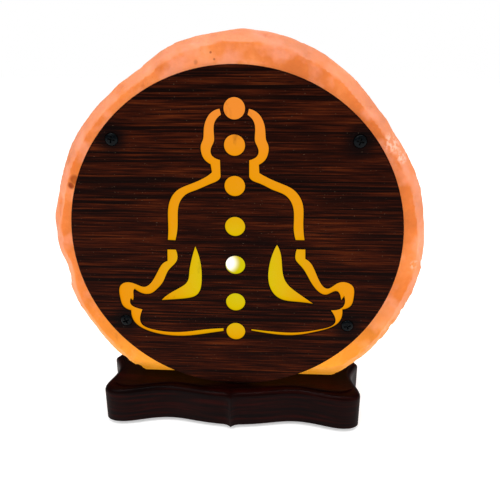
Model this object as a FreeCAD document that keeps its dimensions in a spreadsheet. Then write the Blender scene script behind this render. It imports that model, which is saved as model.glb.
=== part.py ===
import FreeCAD, Part
import os
import re

import Sketcher

# Salt crystal lamp: a hewn disc of rock salt stands on a moulded wooden base behind a stencilled
# wooden panel, and a small screw-in bulb in a push-in holder lights it from a bore inside it.
# Millimetres. X points right, Y points back and Z points up. The origin is on the table, under
# the middle of the bore that the bulb holder goes into.

# --------------------------------------------------------------------------------------------
# Driving dimensions: cell alias, value, what it is
# --------------------------------------------------------------------------------------------

SIZES = (
    ("foot_diameter", 16, "rubber foot"),
    ("foot_height", 3, "rubber foot, from the table to the base"),
    ("foot_bevel", 0.8, "rubber foot, lower rim"),
    ("foot_from_end", 28, "centre of a foot from the end of the base"),
    ("foot_from_front", 17, "centre of a foot from the front or back of the base"),
    ("base_length", 176, "base over its two end nibs"),
    ("base_shift", 3, "base stands this far to the left of the salt's middle"),
    ("base_width", 90, "base over its front and back nibs"),
    ("base_thickness", 25, "base, from the feet to the salt"),
    ("base_moulding", 3.6, "radius of the rounded top edge"),
    ("base_quirk", 1, "height of the flat plate above the rounded edge"),
    ("base_margin", 5.5, "plate set in from the edge of the base"),
    ("bore_diameter", 42, "hole for the bulb holder, through base and salt"),
    ("flange_lap", 3, "holder flange past the edge of the bore"),
    ("flange_thickness", 2.5, "holder flange"),
    ("recess_clearance", 1, "recess under the base past the flange"),
    ("recess_depth", 8, "recess under the base"),
    ("channel_width", 8, "cord channel from the recess to the back"),
    ("screw_reach", 42, "base screws from the middle of the base"),
    ("base_screw_shank", 4, "base screw, diameter"),
    ("base_screw_head", 8, "base screw, head diameter"),
    ("base_screw_head_height", 2.8, "base screw, head"),
    ("base_screw_length", 39, "base screw under its head"),
    ("counterbore_depth", 6, "head of a base screw above the underside"),
    ("base_plug_diameter", 8, "plug for a base screw"),
    ("base_plug_length", 22, "plug for a base screw"),
    ("salt_depth", 60, "salt, front to back"),
    ("salt_margin", 14.3, "salt proud of the panel all round"),
    ("salt_drop", 0.7, "middle of the salt below the middle of the panel"),
    ("salt_shift", 0.5, "middle of the salt to the right of the middle of the panel"),
    ("salt_rim", 7, "bevel hewn round the front and back of the salt"),
    ("foot_set_back", 11, "front edge of the salt's foot behind its front face"),
    ("foot_slope", 13, "height of the slope above the front edge of the salt's foot"),
    ("salt_foot", 128, "flat foot of the salt, side to side"),
    ("salt_bore_depth", 102, "bore for the bulb, up from the foot of the salt"),
    ("panel_diameter", 200, "wooden panel"),
    ("panel_thickness", 3, "wooden panel"),
    ("panel_edge", 0.4, "broken edge of the panel"),
    ("panel_gap", 0.5, "panel above the base"),
    ("dot_diameter", 12, "round cut-outs on the middle line"),
    ("panel_screw_margin", 9.2, "panel screws in from the rim of the panel"),
    ("panel_screw_angle", 39.1, "degrees from level to a panel screw"),
    ("panel_screw_lift", 2.1, "screw pattern above the middle of the panel"),
    ("panel_screw_shank", 3.2, "panel screw, diameter"),
    ("panel_screw_head", 7.4, "panel screw, head diameter"),
    ("panel_screw_dome", 1.2, "panel screw, height of its oval head"),
    ("panel_screw_length", 22, "panel screw behind the face of the panel"),
    ("drive_width", 4.2, "cross recess, end to end"),
    ("drive_slot", 0.9, "cross recess, width of a slot"),
    ("drive_depth", 1.6, "cross recess"),
    ("panel_plug_diameter", 6, "plug for a panel screw"),
    ("panel_plug_length", 24, "plug for a panel screw"),
    ("snug", 0.05, "radial clearance of a pressed or screwed fit"),
    ("loose", 0.3, "radial clearance of a screw in a wooden hole"),
    ("seat_gap", 0.1, "flange under its seat in the base"),
    ("holder_diameter", 27, "bulb holder"),
    ("holder_height", 61, "rim of the bulb holder above its seat"),
    ("cap_height", 19, "lower cap of the holder above its seat"),
    ("cap_wall", 2.6, "lower cap of the holder"),
    ("cap_floor", 0.5, "floor of the lower cap above the seat"),
    ("inlet_diameter", 7, "cord inlet in the lower cap"),
    ("inlet_wall", 2, "collar round the cord inlet"),
    ("inlet_height", 4, "collar round the cord inlet above the seat"),
    ("spigot_height", 3, "lower cap inside the sleeve"),
    ("spigot_step", 0.9, "lower cap inside the sleeve"),
    ("sleeve_wall", 1.6, "sleeve of the holder"),
    ("lip_thickness", 1.5, "lip at the rim of the sleeve"),
    ("lip_diameter", 17.6, "mouth of the sleeve"),
    ("core_gap", 0.3, "insulating core inside the sleeve and under its lip"),
    ("core_skirt", 1.6, "skirt under the core"),
    ("core_floor", 6, "floor of the core"),
    ("shell_sunk", 2, "threaded shell below the top of the core"),
    ("shell_height", 20, "threaded shell"),
    ("shell_wall", 0.4, "threaded shell"),
    ("shell_hole", 7.2, "hole in the floor of the threaded shell"),
    ("thread_gap", 0.25, "bulb thread inside the threaded shell"),
    ("tip_above_core", 6, "bulb's contact above the floor of the core"),
    ("strip_thickness", 0.6, "contact strips"),
    ("strip_width", 4, "contact strips"),
    ("strip_end", 9.6, "ends of the contact strips from the middle"),
    ("strip_border", 0.6, "contact strips past their rivets"),
    ("tongue_reach", 2.8, "ends of the centre contact's tongue from the middle"),
    ("tongue_bend", 3.6, "bend of the tongue above the floor of the core"),
    ("rivet_diameter", 2, "rivets of the contact strips"),
    ("side_rivet_reach", 4.9, "side contact's rivet from the middle"),
    ("terminal_reach", 8, "terminal screws from the middle"),
    ("terminal_shank", 2, "terminal screw, diameter"),
    ("terminal_head", 3.6, "terminal screw, head diameter"),
    ("terminal_head_height", 1.8, "terminal screw, head"),
    ("terminal_length", 4.5, "terminal screw above its head"),
    ("clip_level", 20, "band of the spring clip above the seat"),
    ("clip_band", 7, "height of the spring clip's band"),
    ("clip_thickness", 0.5, "spring clip"),
    ("clip_leg", 8, "width of a leg of the spring clip"),
    ("clip_elbow", 9, "where a leg presses on the bore, above the seat"),
    ("clip_toe", 4.5, "height of a leg's toe"),
    ("clip_curl", 1.4, "toe of a leg turned in for the push home"),
    ("clip_gap", 0.8, "middle of a leg inside the bore"),
    ("bulb_thread", 13.8, "bulb cap, diameter over its thread"),
    ("bulb_cap_level", 4.2, "lower end of the bulb cap above the contact's tip"),
    ("bulb_cap_taper", 1.1, "lower end of the bulb cap drawn in"),
    ("bulb_cap_flare", 0.7, "upper end of the bulb cap turned out"),
    ("bulb_cap_height", 17.5, "bulb cap"),
    ("bulb_cap_wall", 0.4, "bulb cap"),
    ("bulb_length", 60, "bulb, contact to the top of the glass"),
    ("bulb_diameter", 25, "bulb glass"),
    ("bulb_neck", 12.4, "neck of the glass"),
    ("glass_wall", 0.7, "bulb glass"),
    ("tip_diameter", 4.8, "solder contact"),
    ("tip_height", 1.4, "solder contact"),
    ("insulator_border", 0.6, "glass button past the solder contact"),
    ("insulator_height", 5, "glass button between contact and cap"),
    ("neck_in_cap", 6, "neck of the glass cemented into the cap"),
    ("stem_height", 34, "top of the glass stem above the contact's tip"),
    ("stem_diameter", 3.6, "glass stem above its flare"),
    ("filament_height", 46, "ends of the filament above the contact's tip"),
    ("filament_rise", 3, "arch of the filament"),
    ("filament_span", 10, "filament, end to end"),
    ("wire", 0.6, "lead wires and filament coil"),
)

ALIASES = [alias for alias, value, note in SIZES]

# Levels and places worked out from the sizes above
BASE_TOP = "(foot_height + base_thickness)"
SEAT = "(foot_height + recess_depth)"
PANEL_MIDDLE = f"({BASE_TOP} + panel_gap + panel_diameter / 2)"
PANEL_RADIUS = "(panel_diameter / 2)"
SALT_FRONT = "(salt_depth / 2)"
SALT_RADIUS = f"({PANEL_RADIUS} + salt_margin)"
SALT_MIDDLE = f"({PANEL_MIDDLE} - salt_drop)"
FLANGE_RADIUS = "(bore_diameter / 2 + flange_lap)"
SCREW_CIRCLE = f"({PANEL_RADIUS} - panel_screw_margin)"
SCREW_X = f"({SCREW_CIRCLE} * cos(panel_screw_angle))"
SCREW_Z = f"({SCREW_CIRCLE} * sin(panel_screw_angle))"
SCREW_CORNERS = (("-", "-"), ("", "-"), ("-", "+"), ("", "+"))
HOLDER_RADIUS = "(holder_diameter / 2)"
CORE_RADIUS = f"({HOLDER_RADIUS} - sleeve_wall - core_gap)"
CORE_TOP = "(holder_height - lip_thickness - core_gap)"
SHELL_INSIDE = "(bulb_thread / 2 + thread_gap)"
SHELL_OUTSIDE = f"({SHELL_INSIDE} + shell_wall)"
CORE_FLOOR = f"({CORE_TOP} - shell_sunk - shell_height)"
CORE_UNDER = f"({CORE_FLOOR} - core_floor)"
BULB_FOOT = f"({SEAT} + {CORE_FLOOR} + tip_above_core)"

# A quarter circle drawn as a curve has its two handles this far along its sides
ROUND = 0.5523

# --------------------------------------------------------------------------------------------
# Outlines drawn by hand. A list of two points is straight; a longer one is a smooth curve that
# starts at its first point, ends at its last and is pulled towards those between.
# --------------------------------------------------------------------------------------------

# Plan of a quarter of the base, from the front nib to the end nib, as shares of half its width
# and half its length
BASE_PLAN = (
    ((0, 1), (0.022, 0.945), (0.06, 0.935)),
    (
        (0.06, 0.935), (0.16, 0.92), (0.30, 0.865), (0.44, 0.805), (0.58, 0.83), (0.70, 0.90),
        (0.80, 0.955), (0.90, 0.95), (0.965, 0.86), (0.965, 0.72), (0.94, 0.56), (0.925, 0.42),
        (0.93, 0.28), (0.965, 0.13), (1, 0),
    ),
)

# Rim of the salt, anticlockwise from the right end of its foot: degrees from level, and
# millimetres added to its radius
SALT_RIM = (
    (-49, 5.0), (-38, 5.0), (-24, 4.1), (-9, 4.5), (6, 3.0), (20, 0.6), (33, -1.8), (46, -1.0),
    (60, 3.7), (75, 6.5), (90, 7.1), (104, 5.2), (114, 1.8), (121, -1.2), (132, 0.4), (146, 0.7),
    (160, 1.0), (172, 2.3), (183, 1.4), (188, 1.0), (192, -2.2), (197, 1.8), (204, 3.0),
    (216, 3.7), (229, 4.8),
)

# The motif on the panel is drawn on a disc of radius 100 and grows with the panel. Heights of
# the seven dots on the middle line:
DOTS = (76.8, 56.6, 33.1, 8.6, -15.9, -40.7, -61.2)

# Each side of the figure is a slot made of four lengths that run into each other. The head is a
# plain oval with ears, the same on both sides; the rest differs a little from side to side, as
# freehand fretwork does. The runs of a slot follow each other round it.
RIGHT_NECK = ((13.9, 45.6), (8.4, 48.2))
LEFT_NECK = ((-8.4, 48.2), (-13.9, 45.6))

RIGHT_HEAD = (
    (
        (8.2, 76.6), (12.4, 75.8), (16.4, 71.0), (17.6, 64.5), (17.4, 59.6), (19.6, 57.0),
        (19.4, 51.6), (17.4, 47.4), RIGHT_NECK[0],
    ),
    RIGHT_NECK,
    (
        RIGHT_NECK[1], (13.6, 49.4), (14.4, 55.0), (10.8, 58.4), (12.2, 65.0), (11.2, 71.0),
        (7.4, 73.4),
    ),
    ((7.4, 73.4), (8.2, 76.6)),
)

RIGHT_ARM = (
    RIGHT_NECK,
    (RIGHT_NECK[1], (8.4, 38.6)),
    (
        (8.4, 38.6), (9.4, 36.0), (15.0, 35.2), (22.0, 30.6), (29.6, 29.0), (34.6, 22.5),
        (35.2, 13.5), (34.6, 6.0), (36.4, 0.7),
    ),
    ((36.4, 0.7), (41.6, 0.7)),
    (
        (41.6, 0.7), (40.2, 8.5), (40.8, 17.5), (39.6, 25.5), (34.0, 32.6), (25.5, 35.2),
        (16.8, 39.2), (14.2, 41.0),
    ),
    ((14.2, 41.0), RIGHT_NECK[0]),
)

LEFT_ARM = (
    LEFT_NECK,
    (LEFT_NECK[1], (-13.2, 41.0)),
    (
        (-13.2, 41.0), (-15.8, 38.4), (-24.5, 34.2), (-34.5, 31.2), (-39.6, 23.0),
        (-40.5, 14.0), (-40.2, 6.0), (-41.0, -0.6),
    ),
    ((-41.0, -0.6), (-36.4, -0.8)),
    (
        (-36.4, -0.8), (-34.6, 5.0), (-34.4, 12.5), (-34.0, 22.0), (-29.4, 28.4), (-22.5, 30.2),
        (-14.0, 34.6), (-9.0, 36.0), (-8.2, 38.6),
    ),
    ((-8.2, 38.6), LEFT_NECK[0]),
)

RIGHT_WRIST = ((59.6, -44.8), (66.8, -44.3))
LEFT_WRIST = ((-67.1, -48.4), (-59.6, -47.3))

RIGHT_HAND = (
    ((37.1, -5.0), (42.3, -5.0)),
    ((42.3, -5.0), (42.5, -11.0)),
    (
        (42.5, -11.0), (46.0, -12.6), (49.0, -19.6), (52.8, -28.4), (57.4, -31.4),
        (61.6, -26.6), (66.6, -24.8), (73.6, -27.8), (73.4, -36.0), (72.6, -43.4),
        RIGHT_WRIST[1],
    ),
    (RIGHT_WRIST[1], RIGHT_WRIST[0]),
    (RIGHT_WRIST[0], (66.0, -45.0), (69.6, -41.8), (67.5, -35.1)),
    ((67.5, -35.1), (65.7, -38.0)),
    (
        (65.7, -38.0), (65.2, -33.0), (61.8, -30.4), (56.8, -35.6), (51.4, -33.2),
        (46.4, -26.6), (42.6, -18.4), (38.2, -14.0), (35.6, -11.0), (37.1, -5.0),
    ),
)

LEFT_HAND = (
    ((-41.6, -6.6), (-36.3, -6.6)),
    (
        (-36.3, -6.6), (-34.6, -11.4), (-37.0, -16.2), (-42.6, -20.2), (-44.6, -28.0),
        (-50.6, -34.4), (-54.6, -37.4), (-60.0, -36.6), (-63.9, -33.4),
    ),
    ((-63.9, -33.4), (-65.4, -35.0), (-63.9, -38.0), (-65.4, -41.4)),
    ((-65.4, -41.4), (-66.8, -40.1)),
    ((-66.8, -40.1), (-68.4, -44.6), (-65.2, -46.0), LEFT_WRIST[1]),
    (LEFT_WRIST[1], LEFT_WRIST[0]),
    (
        LEFT_WRIST[0], (-72.4, -47.0), (-73.4, -41.0), (-74.4, -32.0), (-69.0, -28.0),
        (-62.6, -29.6), (-57.2, -33.0), (-51.8, -28.4), (-47.6, -19.6), (-44.6, -14.8),
        (-41.9, -14.2),
    ),
    ((-41.9, -14.2), (-41.6, -6.6)),
)

RIGHT_LEG = (
    RIGHT_WRIST,
    (
        RIGHT_WRIST[1], (67.8, -51.4), (61.6, -57.4), (51.0, -60.2), (38.0, -63.8),
        (25.0, -63.2), (10.0, -60.6),
    ),
    ((10.0, -60.6), (10.0, -59.4)),
    (
        (10.0, -59.4), (25.0, -61.0), (39.0, -61.6), (51.0, -58.8), (60.0, -56.8),
        (64.4, -52.6), (61.8, -47.6), RIGHT_WRIST[0],
    ),
)

LEFT_LEG = (
    LEFT_WRIST,
    (
        LEFT_WRIST[1], (-61.8, -52.0), (-62.4, -58.2), (-55.0, -61.4), (-42.0, -63.4),
        (-29.0, -62.2), (-18.0, -59.8), (-7.9, -59.2),
    ),
    ((-7.9, -59.2), (-7.9, -61.4)),
    (
        (-7.9, -61.4), (-18.0, -63.2), (-30.0, -66.0), (-46.0, -65.8), (-60.0, -62.4),
        (-67.6, -56.0), LEFT_WRIST[0],
    ),
)

LEFT_CRESCENT = (
    ((-24.3, -4.2), (-21.2, -12.0), (-20.4, -24.0), (-22.2, -39.0), (-33.0, -39.4), (-47.0, -40.7)),
    ((-47.0, -40.7), (-43.0, -35.6), (-28.4, -29.8), (-29.4, -22.0), (-26.6, -11.0), (-24.3, -4.2)),
)
RIGHT_CRESCENT = (
    ((25.2, -2.4), (28.4, -7.0), (28.0, -20.0), (31.8, -29.4), (40.6, -34.8), (48.9, -40.9)),
    (
        (48.9, -40.9), (40.0, -39.4), (29.0, -40.4), (21.0, -32.4), (19.4, -20.0), (22.4, -7.4),
        (25.2, -2.4),
    ),
)


# --------------------------------------------------------------------------------------------
# The document and its sheet of sizes
# --------------------------------------------------------------------------------------------

doc = FreeCAD.newDocument("salt_crystal_lamp")
sheet = doc.addObject("Spreadsheet::Sheet", "Sizes")
for row, (alias, value, note) in enumerate(SIZES, start=1):
    sheet.set(f"A{row}", note)
    sheet.set(f"B{row}", str(value))
    sheet.setAlias(f"B{row}", alias)
doc.recompute()


def named(expression):
    """The expression with each alias in it written as a cell of the sheet."""
    words = re.compile(r"[a-z][a-z_]*")

    def cell(word):
        return f"Sizes.{word[0]}" if word[0] in ALIASES else word[0]

    return words.sub(cell, str(expression))


# --------------------------------------------------------------------------------------------
# Bodies, sketches and features
# --------------------------------------------------------------------------------------------

def new_body(name, x="0", y="0", z="0"):
    """An empty body whose own origin lies at x, y, z on the lamp."""
    body = doc.addObject("PartDesign::Body", name)
    body.Label = name
    for axis, place in zip("xyz", (x, y, z)):
        body.setExpression(f"Placement.Base.{axis}", named(place))
    return body


def new_sketch(body, plane, level="0"):
    """An empty sketch on one of the body's own planes, moved along the plane's normal."""
    sketch = body.newObject("Sketcher::SketchObject", f"{body.Name}_sketch")
    origin_plane = [feature for feature in body.Origin.OriginFeatures if feature.Role == plane][0]
    sketch.AttachmentSupport = [(origin_plane, "")]
    sketch.MapMode = "FlatFace"
    sketch.setExpression("AttachmentOffset.Base.z", named(level))
    return sketch


def bind(sketch, constraints):
    """Add constraints given with their expressions, and tie each to the sheet."""
    first = len(sketch.Constraints)
    sketch.addConstraint([constraint for constraint, expression in constraints])
    for offset, (constraint, expression) in enumerate(constraints):
        if expression is not None:
            sketch.setExpression(f"Constraints[{first + offset}]", expression)


def pin(geometry, corner, point, place):
    """Constraints that hold a point of a sketch at its two distances from the origin."""
    return [
        (Sketcher.Constraint("DistanceX", geometry, corner, place.x), named(point[0])),
        (Sketcher.Constraint("DistanceY", geometry, corner, place.y), named(point[1])),
    ]


def outline(sketch, runs):
    """A closed outline. A run of two points is a line; a longer one is a smooth curve."""
    constraints = []
    first = last = None
    for index, run in enumerate(runs):
        places = [
            FreeCAD.Vector(*(float(sketch.evalExpression(named(part))) for part in point), 0)
            for point in run
        ]
        closing = index == len(runs) - 1
        if len(run) == 2:
            edge = sketch.addGeometry(Part.LineSegment(*places), False)
            if not closing:
                constraints += pin(edge, 2, run[-1], places[-1])
        else:
            handles = sketch.addGeometry(
                [Part.Circle(place, FreeCAD.Vector(0, 0, 1), 1) for place in places], True
            )
            edge = sketch.addGeometry(smooth(places), False)
            constraints.append((Sketcher.Constraint("Weight", handles[0], 1.0), None))
            for number, handle in enumerate(handles):
                alignment = "InternalAlignment:Sketcher::BSplineControlPoint"
                constraints.append((Sketcher.Constraint(alignment, handle, 3, edge, number), None))
                if number > 0:
                    constraints.append((Sketcher.Constraint("Equal", handles[0], handle), None))
                if 0 < number and not (closing and number == len(handles) - 1):
                    constraints += pin(handle, 3, run[number], places[number])
        if first is None:
            first = edge
            constraints += pin(edge, 1, run[0], places[0])
        else:
            constraints.append((Sketcher.Constraint("Coincident", last, 2, edge, 1), None))
        last = edge
    constraints.append((Sketcher.Constraint("Coincident", last, 2, first, 1), None))
    bind(sketch, constraints)


def smooth(places):
    """A curve that starts at the first place, ends at the last and follows those between."""
    degree = min(3, len(places) - 1)
    spans = len(places) - degree
    knots = [number / spans for number in range(spans + 1)]
    repeats = [degree + 1] + [1] * (spans - 1) + [degree + 1]
    curve = Part.BSplineCurve()
    curve.buildFromPolesMultsKnots(places, repeats, knots, False, degree)
    return curve


def circle(sketch, x, y, radius):
    """A circle in a sketch, placed and sized by expressions."""
    place = FreeCAD.Vector(*(float(sketch.evalExpression(named(part))) for part in (x, y)), 0)
    size = float(sketch.evalExpression(named(radius)))
    ring = sketch.addGeometry(Part.Circle(place, FreeCAD.Vector(0, 0, 1), size), False)
    size_constraint = (Sketcher.Constraint("Radius", ring, size), named(radius))
    bind(sketch, pin(ring, 3, (x, y), place) + [size_constraint])


def rectangle(sketch, low, high):
    """A rectangle in a sketch between two corners."""
    corners = (low, (high[0], low[1]), high, (low[0], high[1]))
    polygon(sketch, corners)


def loop(corners):
    """The runs of a closed outline with straight sides."""
    return list(zip(corners, corners[1:] + corners[:1]))


def polygon(sketch, corners):
    """A closed outline of straight lines."""
    outline(sketch, loop(corners))


def pad(body, sketch, length, middle=False, backwards=False):
    """Material as thick as length on the sketch."""
    feature = body.newObject("PartDesign::Pad", f"{body.Name}_pad")
    feature.Profile = sketch
    feature.setExpression("Length", named(length))
    feature.SideType = "Symmetric" if middle else "One side"
    feature.Reversed = backwards
    doc.recompute()
    return feature


def cut(body, sketch, length, middle=False, backwards=False):
    """A pocket as deep as length under the sketch. It has to take something away."""
    before = body.Shape.Volume
    feature = body.newObject("PartDesign::Pocket", f"{body.Name}_pocket")
    feature.Profile = sketch
    feature.setExpression("Length", named(length))
    feature.SideType = "Symmetric" if middle else "One side"
    feature.Reversed = backwards
    doc.recompute()
    if body.Shape.Volume > before - 0.001:
        raise RuntimeError(f"{feature.Name} takes nothing away")
    return feature


def turn(body, runs, plane="XZ_Plane"):
    """Material turned about the upright axis of the plane: runs give radius and height."""
    sketch = new_sketch(body, plane)
    outline(sketch, runs)
    feature = body.newObject("PartDesign::Revolution", f"{body.Name}_turned")
    feature.Profile = sketch
    feature.ReferenceAxis = (sketch, ["V_Axis"])
    feature.Angle = 360
    doc.recompute()
    return feature


def turn_corners(body, corners, plane="XZ_Plane"):
    """Material turned from a profile with straight sides."""
    return turn(body, loop(corners), plane)


def edges_of(feature, wanted):
    """Names of the feature's edges for which wanted(edge) is true."""
    edges = enumerate(feature.Shape.Edges, start=1)
    return [f"Edge{number}" for number, edge in edges if wanted(edge)]


def dress(body, kind, feature, wanted, size):
    """Fillet or Chamfer of the wanted edges of a feature."""
    names = edges_of(feature, wanted)
    dressed = body.newObject(f"PartDesign::{kind}", f"{body.Name}_{kind.lower()}")
    dressed.Base = (feature, names)
    dressed.setExpression("Radius" if kind == "Fillet" else "Size", named(size))
    doc.recompute()
    return dressed


def size_of(expression):
    """The number that an expression of sheet sizes gives now."""
    return float(sheet.evalExpression(named(expression).replace("Sizes.", "")))


def group(name, bodies):
    """One node out of several alike solids."""
    node = doc.addObject("Part::Compound", name)
    node.Label = name
    node.Links = bodies
    doc.recompute()
    return node


# --------------------------------------------------------------------------------------------
# Base and feet
# --------------------------------------------------------------------------------------------

def quarter_plan(sketch, margin):
    """A quarter of the base's plan, front right, set in by the margin."""
    runs = [
        [
            (f"(base_length / 2 - {margin}) * {along}", f"-(base_width / 2 - {margin}) * {across}")
            for along, across in run
        ]
        for run in BASE_PLAN
    ]
    start = runs[0][0]
    end = runs[-1][-1]
    outline(sketch, runs + [[end, ("0", "0")], [("0", "0"), start]])


def mirrored(body, plane):
    """The whole body so far and its mirror image in one of its own planes."""
    mirror = body.newObject("PartDesign::Mirrored", f"{body.Name}_mirrored")
    mirror.MirrorPlane = ([item for item in body.Origin.OriginFeatures if item.Role == plane][0], [""])
    mirror.TransformMode = "Whole shape"
    body.Tip = mirror
    doc.recompute()
    return mirror


def rim_of_sides(feature, low, high):
    """Names of the edges at the level high that bound the upright faces rising from low."""
    sides = [
        face for face in feature.Shape.Faces
        if abs(face.BoundBox.ZMin - low) < 0.01 and abs(face.BoundBox.ZMax - high) < 0.01
    ]
    rims = [edge for face in sides for edge in face.Edges if edge.BoundBox.ZMin > high - 0.01]
    return lambda edge: any(edge.isSame(rim) for rim in rims)


def make_base():
    """Moulded wooden base with the holder's bore, its recess, a cord channel and screw holes."""
    body = new_body("base", "-base_shift", z="foot_height")
    shoulder = "(base_thickness - base_quirk)"
    slab = new_sketch(body, "XY_Plane")
    quarter_plan(slab, "0")
    pad(body, slab, shoulder)
    plate = new_sketch(body, "XY_Plane", shoulder)
    quarter_plan(plate, "base_margin")
    pad(body, plate, "base_quirk")
    mirrored(body, "YZ_Plane")
    whole = mirrored(body, "XZ_Plane")
    dress(body, "Fillet", whole, rim_of_sides(whole, 0, size_of(shoulder)), "base_moulding")

    through = new_sketch(body, "XY_Plane")
    heads = new_sketch(body, "XY_Plane")
    circle(through, "base_shift", "0", "bore_diameter / 2")
    for side in ("-", ""):
        reach = f"base_shift + {side}screw_reach"
        circle(through, reach, "0", "base_screw_shank / 2 + loose")
        circle(heads, reach, "0", "base_screw_head / 2 + loose")
    cut(body, through, "base_thickness", backwards=True)
    cut(body, heads, "counterbore_depth", backwards=True)
    recess = new_sketch(body, "XY_Plane")
    circle(recess, "base_shift", "0", f"{FLANGE_RADIUS} + recess_clearance")
    cut(body, recess, "recess_depth", backwards=True)
    channel = new_sketch(body, "XY_Plane")
    left = "(base_shift - channel_width / 2)"
    rectangle(channel, (left, FLANGE_RADIUS), (f"{left} + channel_width", "base_width / 2"))
    cut(body, channel, "recess_depth", backwards=True)
    return body


def make_foot(name, side, end):
    """A rubber foot stuck under a corner of the base."""
    x = f"{side} * (base_length / 2 - foot_from_end) - base_shift"
    y = f"{end} * (base_width / 2 - foot_from_front)"
    body = new_body(name, x, y)
    radius = "foot_diameter / 2"
    turn_corners(body, (
        ("0", "0"), (f"{radius} - foot_bevel", "0"), (radius, "foot_bevel"), (radius, "foot_height"),
        ("0", "foot_height"),
    ))
    return body


def make_base_screws():
    """Two screws driven up through the base into the salt's foot."""
    screws = []
    level = "foot_height + counterbore_depth"
    for number, side in enumerate(("-", ""), start=1):
        body = new_body(f"base_screw_{number}", f"{side}screw_reach", "0", level)
        shank = "base_screw_shank / 2"
        head = "base_screw_head / 2"
        tip = "base_screw_length"
        turn_corners(body, (
            ("0", "-base_screw_head_height"), (f"{head} * 0.7", "-base_screw_head_height"),
            (head, "-base_screw_head_height / 2"), (head, "0"), (shank, "0"),
            (shank, f"{tip} - base_screw_shank"), ("0", tip),
        ))
        cross_recess(body, "XY_Plane", "-base_screw_head_height", backwards=True)
        screws.append(body)
    return group("base_screws", screws)


def cross_recess(body, plane, level, backwards):
    """The driver's cross in a screw head."""
    for across in (False, True):
        sketch = new_sketch(body, plane, level)
        long_way = "drive_width / 2"
        short_way = "drive_slot / 2"
        width, height = (short_way, long_way) if across else (long_way, short_way)
        rectangle(sketch, (f"-{width}", f"-{height}"), (width, height))
        cut(body, sketch, "drive_depth", backwards=backwards)


def make_base_plugs():
    """Two plugs in the salt's foot that take the base screws."""
    plugs = []
    for number, side in enumerate(("-", ""), start=1):
        body = new_body(f"base_plug_{number}", f"{side}screw_reach", "0", BASE_TOP)
        turn_corners(body, (
            ("base_screw_shank / 2 + snug", "0"), ("base_plug_diameter / 2 - snug", "0"),
            ("base_plug_diameter / 2 - snug", "base_plug_length"),
            ("base_screw_shank / 2 + snug", "base_plug_length"),
        ))
        plugs.append(body)
    return group("base_plugs", plugs)


# --------------------------------------------------------------------------------------------
# Salt and panel
# --------------------------------------------------------------------------------------------

def make_salt():
    """The hewn disc of salt, with the bulb's bore and the plug holes in it."""
    body = new_body("salt_block", z=SALT_MIDDLE)
    foot = f"({BASE_TOP} - {SALT_MIDDLE})"
    right = ("salt_foot / 2", foot)
    left = ("-salt_foot / 2", foot)
    rim = [
        (
            f"salt_shift + ({SALT_RADIUS} + {bulge}) * cos({angle})",
            f"({SALT_RADIUS} + {bulge}) * sin({angle})",
        )
        for angle, bulge in SALT_RIM
    ]
    face = new_sketch(body, "XZ_Plane")
    outline(face, [[right] + rim + [left], [left, right]])
    block = pad(body, face, "salt_depth", middle=True)
    dress(body, "Chamfer", block, is_flat_curve, "salt_rim")
    slope = new_sketch(body, "YZ_Plane")
    front = f"-{SALT_FRONT}"
    polygon(slope, ((front, foot), (f"{front} + foot_set_back", foot), (front, f"{foot} + foot_slope")))
    cut(body, slope, "salt_foot * 2", middle=True)

    bore = new_sketch(body, "XY_Plane", foot)
    circle(bore, "0", "0", "bore_diameter / 2")
    cut(body, bore, "salt_bore_depth", backwards=True)
    panel_plugs = new_sketch(body, "XZ_Plane", SALT_FRONT)
    for side, end in SCREW_CORNERS:
        height = f"panel_screw_lift + salt_drop {end} {SCREW_Z}"
        circle(panel_plugs, f"{side}{SCREW_X}", height, "panel_plug_diameter / 2")
    cut(body, panel_plugs, "panel_plug_length")
    base_plugs = new_sketch(body, "XY_Plane", foot)
    for side in ("-", ""):
        circle(base_plugs, f"{side}screw_reach", "0", "base_plug_diameter / 2")
    cut(body, base_plugs, "base_plug_length", backwards=True)
    return body


def on_disc(points):
    """Points of the motif as expressions that grow with the panel."""
    return [(f"{PANEL_RADIUS} / 100 * {x}", f"{PANEL_RADIUS} / 100 * {z}") for x, z in points]


def flipped(slot):
    """The slot on the other side of the middle line."""
    return [[(-x, z) for x, z in run] for run in slot]


def make_panel():
    """The round wooden panel, its stencilled figure and its screw holes."""
    body = new_body("front_panel", "0", f"-{SALT_FRONT}", PANEL_MIDDLE)
    disc_sketch = new_sketch(body, "XZ_Plane")
    circle(disc_sketch, "0", "0", PANEL_RADIUS)
    disc = pad(body, disc_sketch, "panel_thickness")
    dress(body, "Chamfer", disc, is_flat_curve, "panel_edge")

    holes = new_sketch(body, "XZ_Plane")
    for side, end in SCREW_CORNERS:
        height = f"panel_screw_lift {end} {SCREW_Z}"
        circle(holes, f"{side}{SCREW_X}", height, "panel_screw_shank / 2 + loose")
    drilled = cut(body, holes, "panel_thickness", backwards=True)
    face = -size_of("panel_thickness")
    hole = size_of("panel_screw_shank / 2 + loose")

    def at_mouth(edge):
        return abs(edge.BoundBox.YMin - face) < 0.01 and is_flat_curve(edge) and is_circle(edge, hole)

    dress(body, "Chamfer", drilled, at_mouth, "(panel_screw_head - panel_screw_shank) / 2")

    slots = [
        RIGHT_HEAD, RIGHT_ARM, RIGHT_HAND, RIGHT_LEG, RIGHT_CRESCENT,
        flipped(RIGHT_HEAD), LEFT_ARM, LEFT_HAND, LEFT_LEG, LEFT_CRESCENT,
    ]
    for slot in slots:
        slot_sketch = new_sketch(body, "XZ_Plane")
        outline(slot_sketch, [on_disc(run) for run in slot])
        cut(body, slot_sketch, "panel_thickness", backwards=True)

    dots = new_sketch(body, "XZ_Plane")
    for height in DOTS:
        circle(dots, "0", f"{PANEL_RADIUS} / 100 * {height}", "dot_diameter / 2")
    cut(body, dots, "panel_thickness", backwards=True)
    return body


def is_flat_curve(edge):
    """Whether the edge is curved and lies in one upright plane."""
    return edge.BoundBox.YLength < 0.01 and not isinstance(edge.Curve, Part.Line)


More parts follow.
